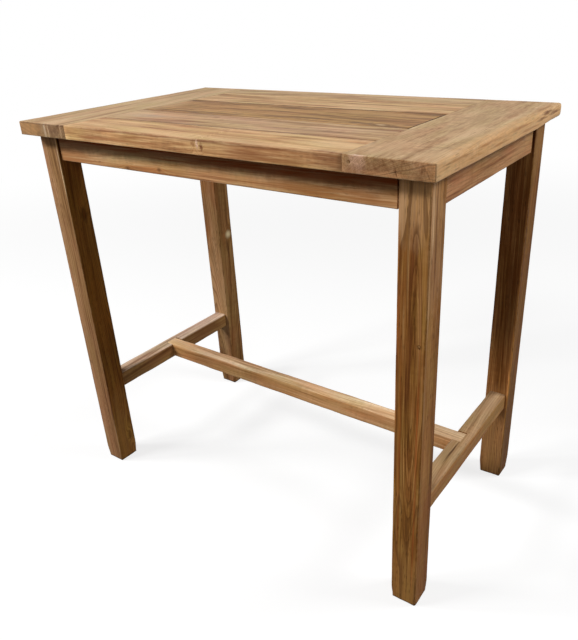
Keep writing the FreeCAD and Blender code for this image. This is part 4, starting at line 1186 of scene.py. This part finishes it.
for name in nodes_called("cross_rail"):
    low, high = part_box(name)
    spots = [((middle_of(low, high)[0], y, low[2]), (0, 0, -1)) for y in UNDER_EACH_BOARD]
    print(name, "has", len(screw_heads(name + "_screws", spots).data.polygons), "faces of screw heads")
for name in nodes_called("corner_brace"):
    middle = Vector(middle_of(*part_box(name)))
    inward = Vector((-math.copysign(1, middle.x), -math.copysign(1, middle.y), 0)).normalized()
    looks_in = [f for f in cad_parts[name].data.polygons if f.normal.dot(inward) > 0.99]
    face = max(looks_in, key=lambda f: f.area)
    along = inward.cross(Vector((0, 0, 1)))
    seat = middle + inward * (Vector(face.center) - middle).dot(inward)
    spots = [(seat + along * shift, inward) for shift in (-0.018, 0.018)]
    screw_heads(name + "_screws", spots)
    print(name, "is screwed at", [[round(v, 3) for v in spot] for spot, _ in spots])

# %% Paint the nodes that keep their solid
for name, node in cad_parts.items():
    if name in SEEN:
        continue
    node.data.materials.clear()
    node.data.materials.append(finishes[name])
print("painted", len(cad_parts) - len(SEEN), "solids as they are")

# %% [markdown]
# ## Floor, backdrop and light
# The table stands on a plain white ground. To the camera, and in reflections, the ground is white, but it
# gives little light back to the wood, because in the room of the photograph the floor is dull and the
# faces under the top are dark. Light Path tells the two apart. The floor keeps the table's soft shadow.

# %% Lay the floor
FLOOR_RADIUS = 14.0
floor_shape = bmesh.new()
bmesh.ops.create_circle(floor_shape, cap_ends=True, segments=96, radius=FLOOR_RADIUS)
floor_mesh = bpy.data.meshes.new("floor")
floor_shape.to_mesh(floor_mesh)
floor_shape.free()
floor = bpy.data.objects.new("floor", floor_mesh)
scene.collection.objects.link(floor)

white, shader = new_material("floor_white")
tree.nodes.remove(shader)


def seen_directly():
    """1 for rays of the camera, of gloss and through glass, and 0 for the light that falls on the wood."""
    path = add("LightPath")
    either = reckon("MAXIMUM", path.outputs["Is Camera Ray"], path.outputs["Is Glossy Ray"])
    return reckon("MAXIMUM", either, path.outputs["Is Transmission Ray"])


def white_light(strength):
    return add("Emission", (1, 1, 1, 1), strength).outputs[0]


def dull(grey):
    return add("BsdfDiffuse", (grey, grey, grey, 1)).outputs[0]


def lay_over(share, under, over):
    return add("MixShader", share, under, over).outputs[0]


away = reckon_vector("LENGTH", add("TexCoord").outputs["Object"])
near_table = add("AddShader", dull(0.30), white_light(0.76)).outputs[0]
to_the_eye = lay_over(fade(away, 1.5, 5.0), near_table, white_light(1.0))
ground = lay_over(seen_directly(), dull(0.15), to_the_eye)
feed(tree.nodes["Material Output"].inputs["Surface"], ground)
floor_mesh.materials.append(white)
print("the floor is", 2 * FLOOR_RADIUS, "metres wide")

# %% Light the room
world = bpy.data.worlds.new("room")
scene.world = world
world.use_nodes = True
tree = world.node_tree
backdrop = tree.nodes["Background"]
backdrop.inputs["Color"].default_value = (1, 1, 1, 1)
feed(backdrop.inputs["Strength"], times(seen_directly(), 0.94, 0.06))


def soft_lamp(name, place, aim, wide, high, level):
    """A flat lamp. The level is the light that it gives at its aim, where 1 shows a colour as it is written."""
    lamp = bpy.data.lights.new(name, "AREA")
    lamp.shape = "RECTANGLE"
    lamp.size, lamp.size_y = wide, high
    line = Vector(aim) - Vector(place)
    lamp.energy = level * math.pi * math.pi * line.length_squared
    made = bpy.data.objects.new(name, lamp)
    scene.collection.objects.link(made)
    made.matrix_world = Matrix.Translation(place) @ line.to_track_quat("-Z", "Y").to_matrix().to_4x4()
    print(name, "stands", round(line.length, 2), "m away, with", round(lamp.energy), "W")


soft_lamp("window_light_front", (-2.4, -3.1, 3.95), (0.0, -0.36, 1.0), 1.2, 0.75, 0.51)
soft_lamp("window_light_left", (-3.4, -2.3, 3.09), (0.0, -0.36, 1.0), 0.8, 0.55, 0.53)
soft_lamp("side_light", (3.0, 1.4, 3.2), (0.6, 0.0, 0.8), 1.6, 1.2, 0.68)
soft_lamp("room_light", (2.3, -3.0, 2.4), (0.2, -0.2, 0.7), 2.4, 1.6, 0.16)
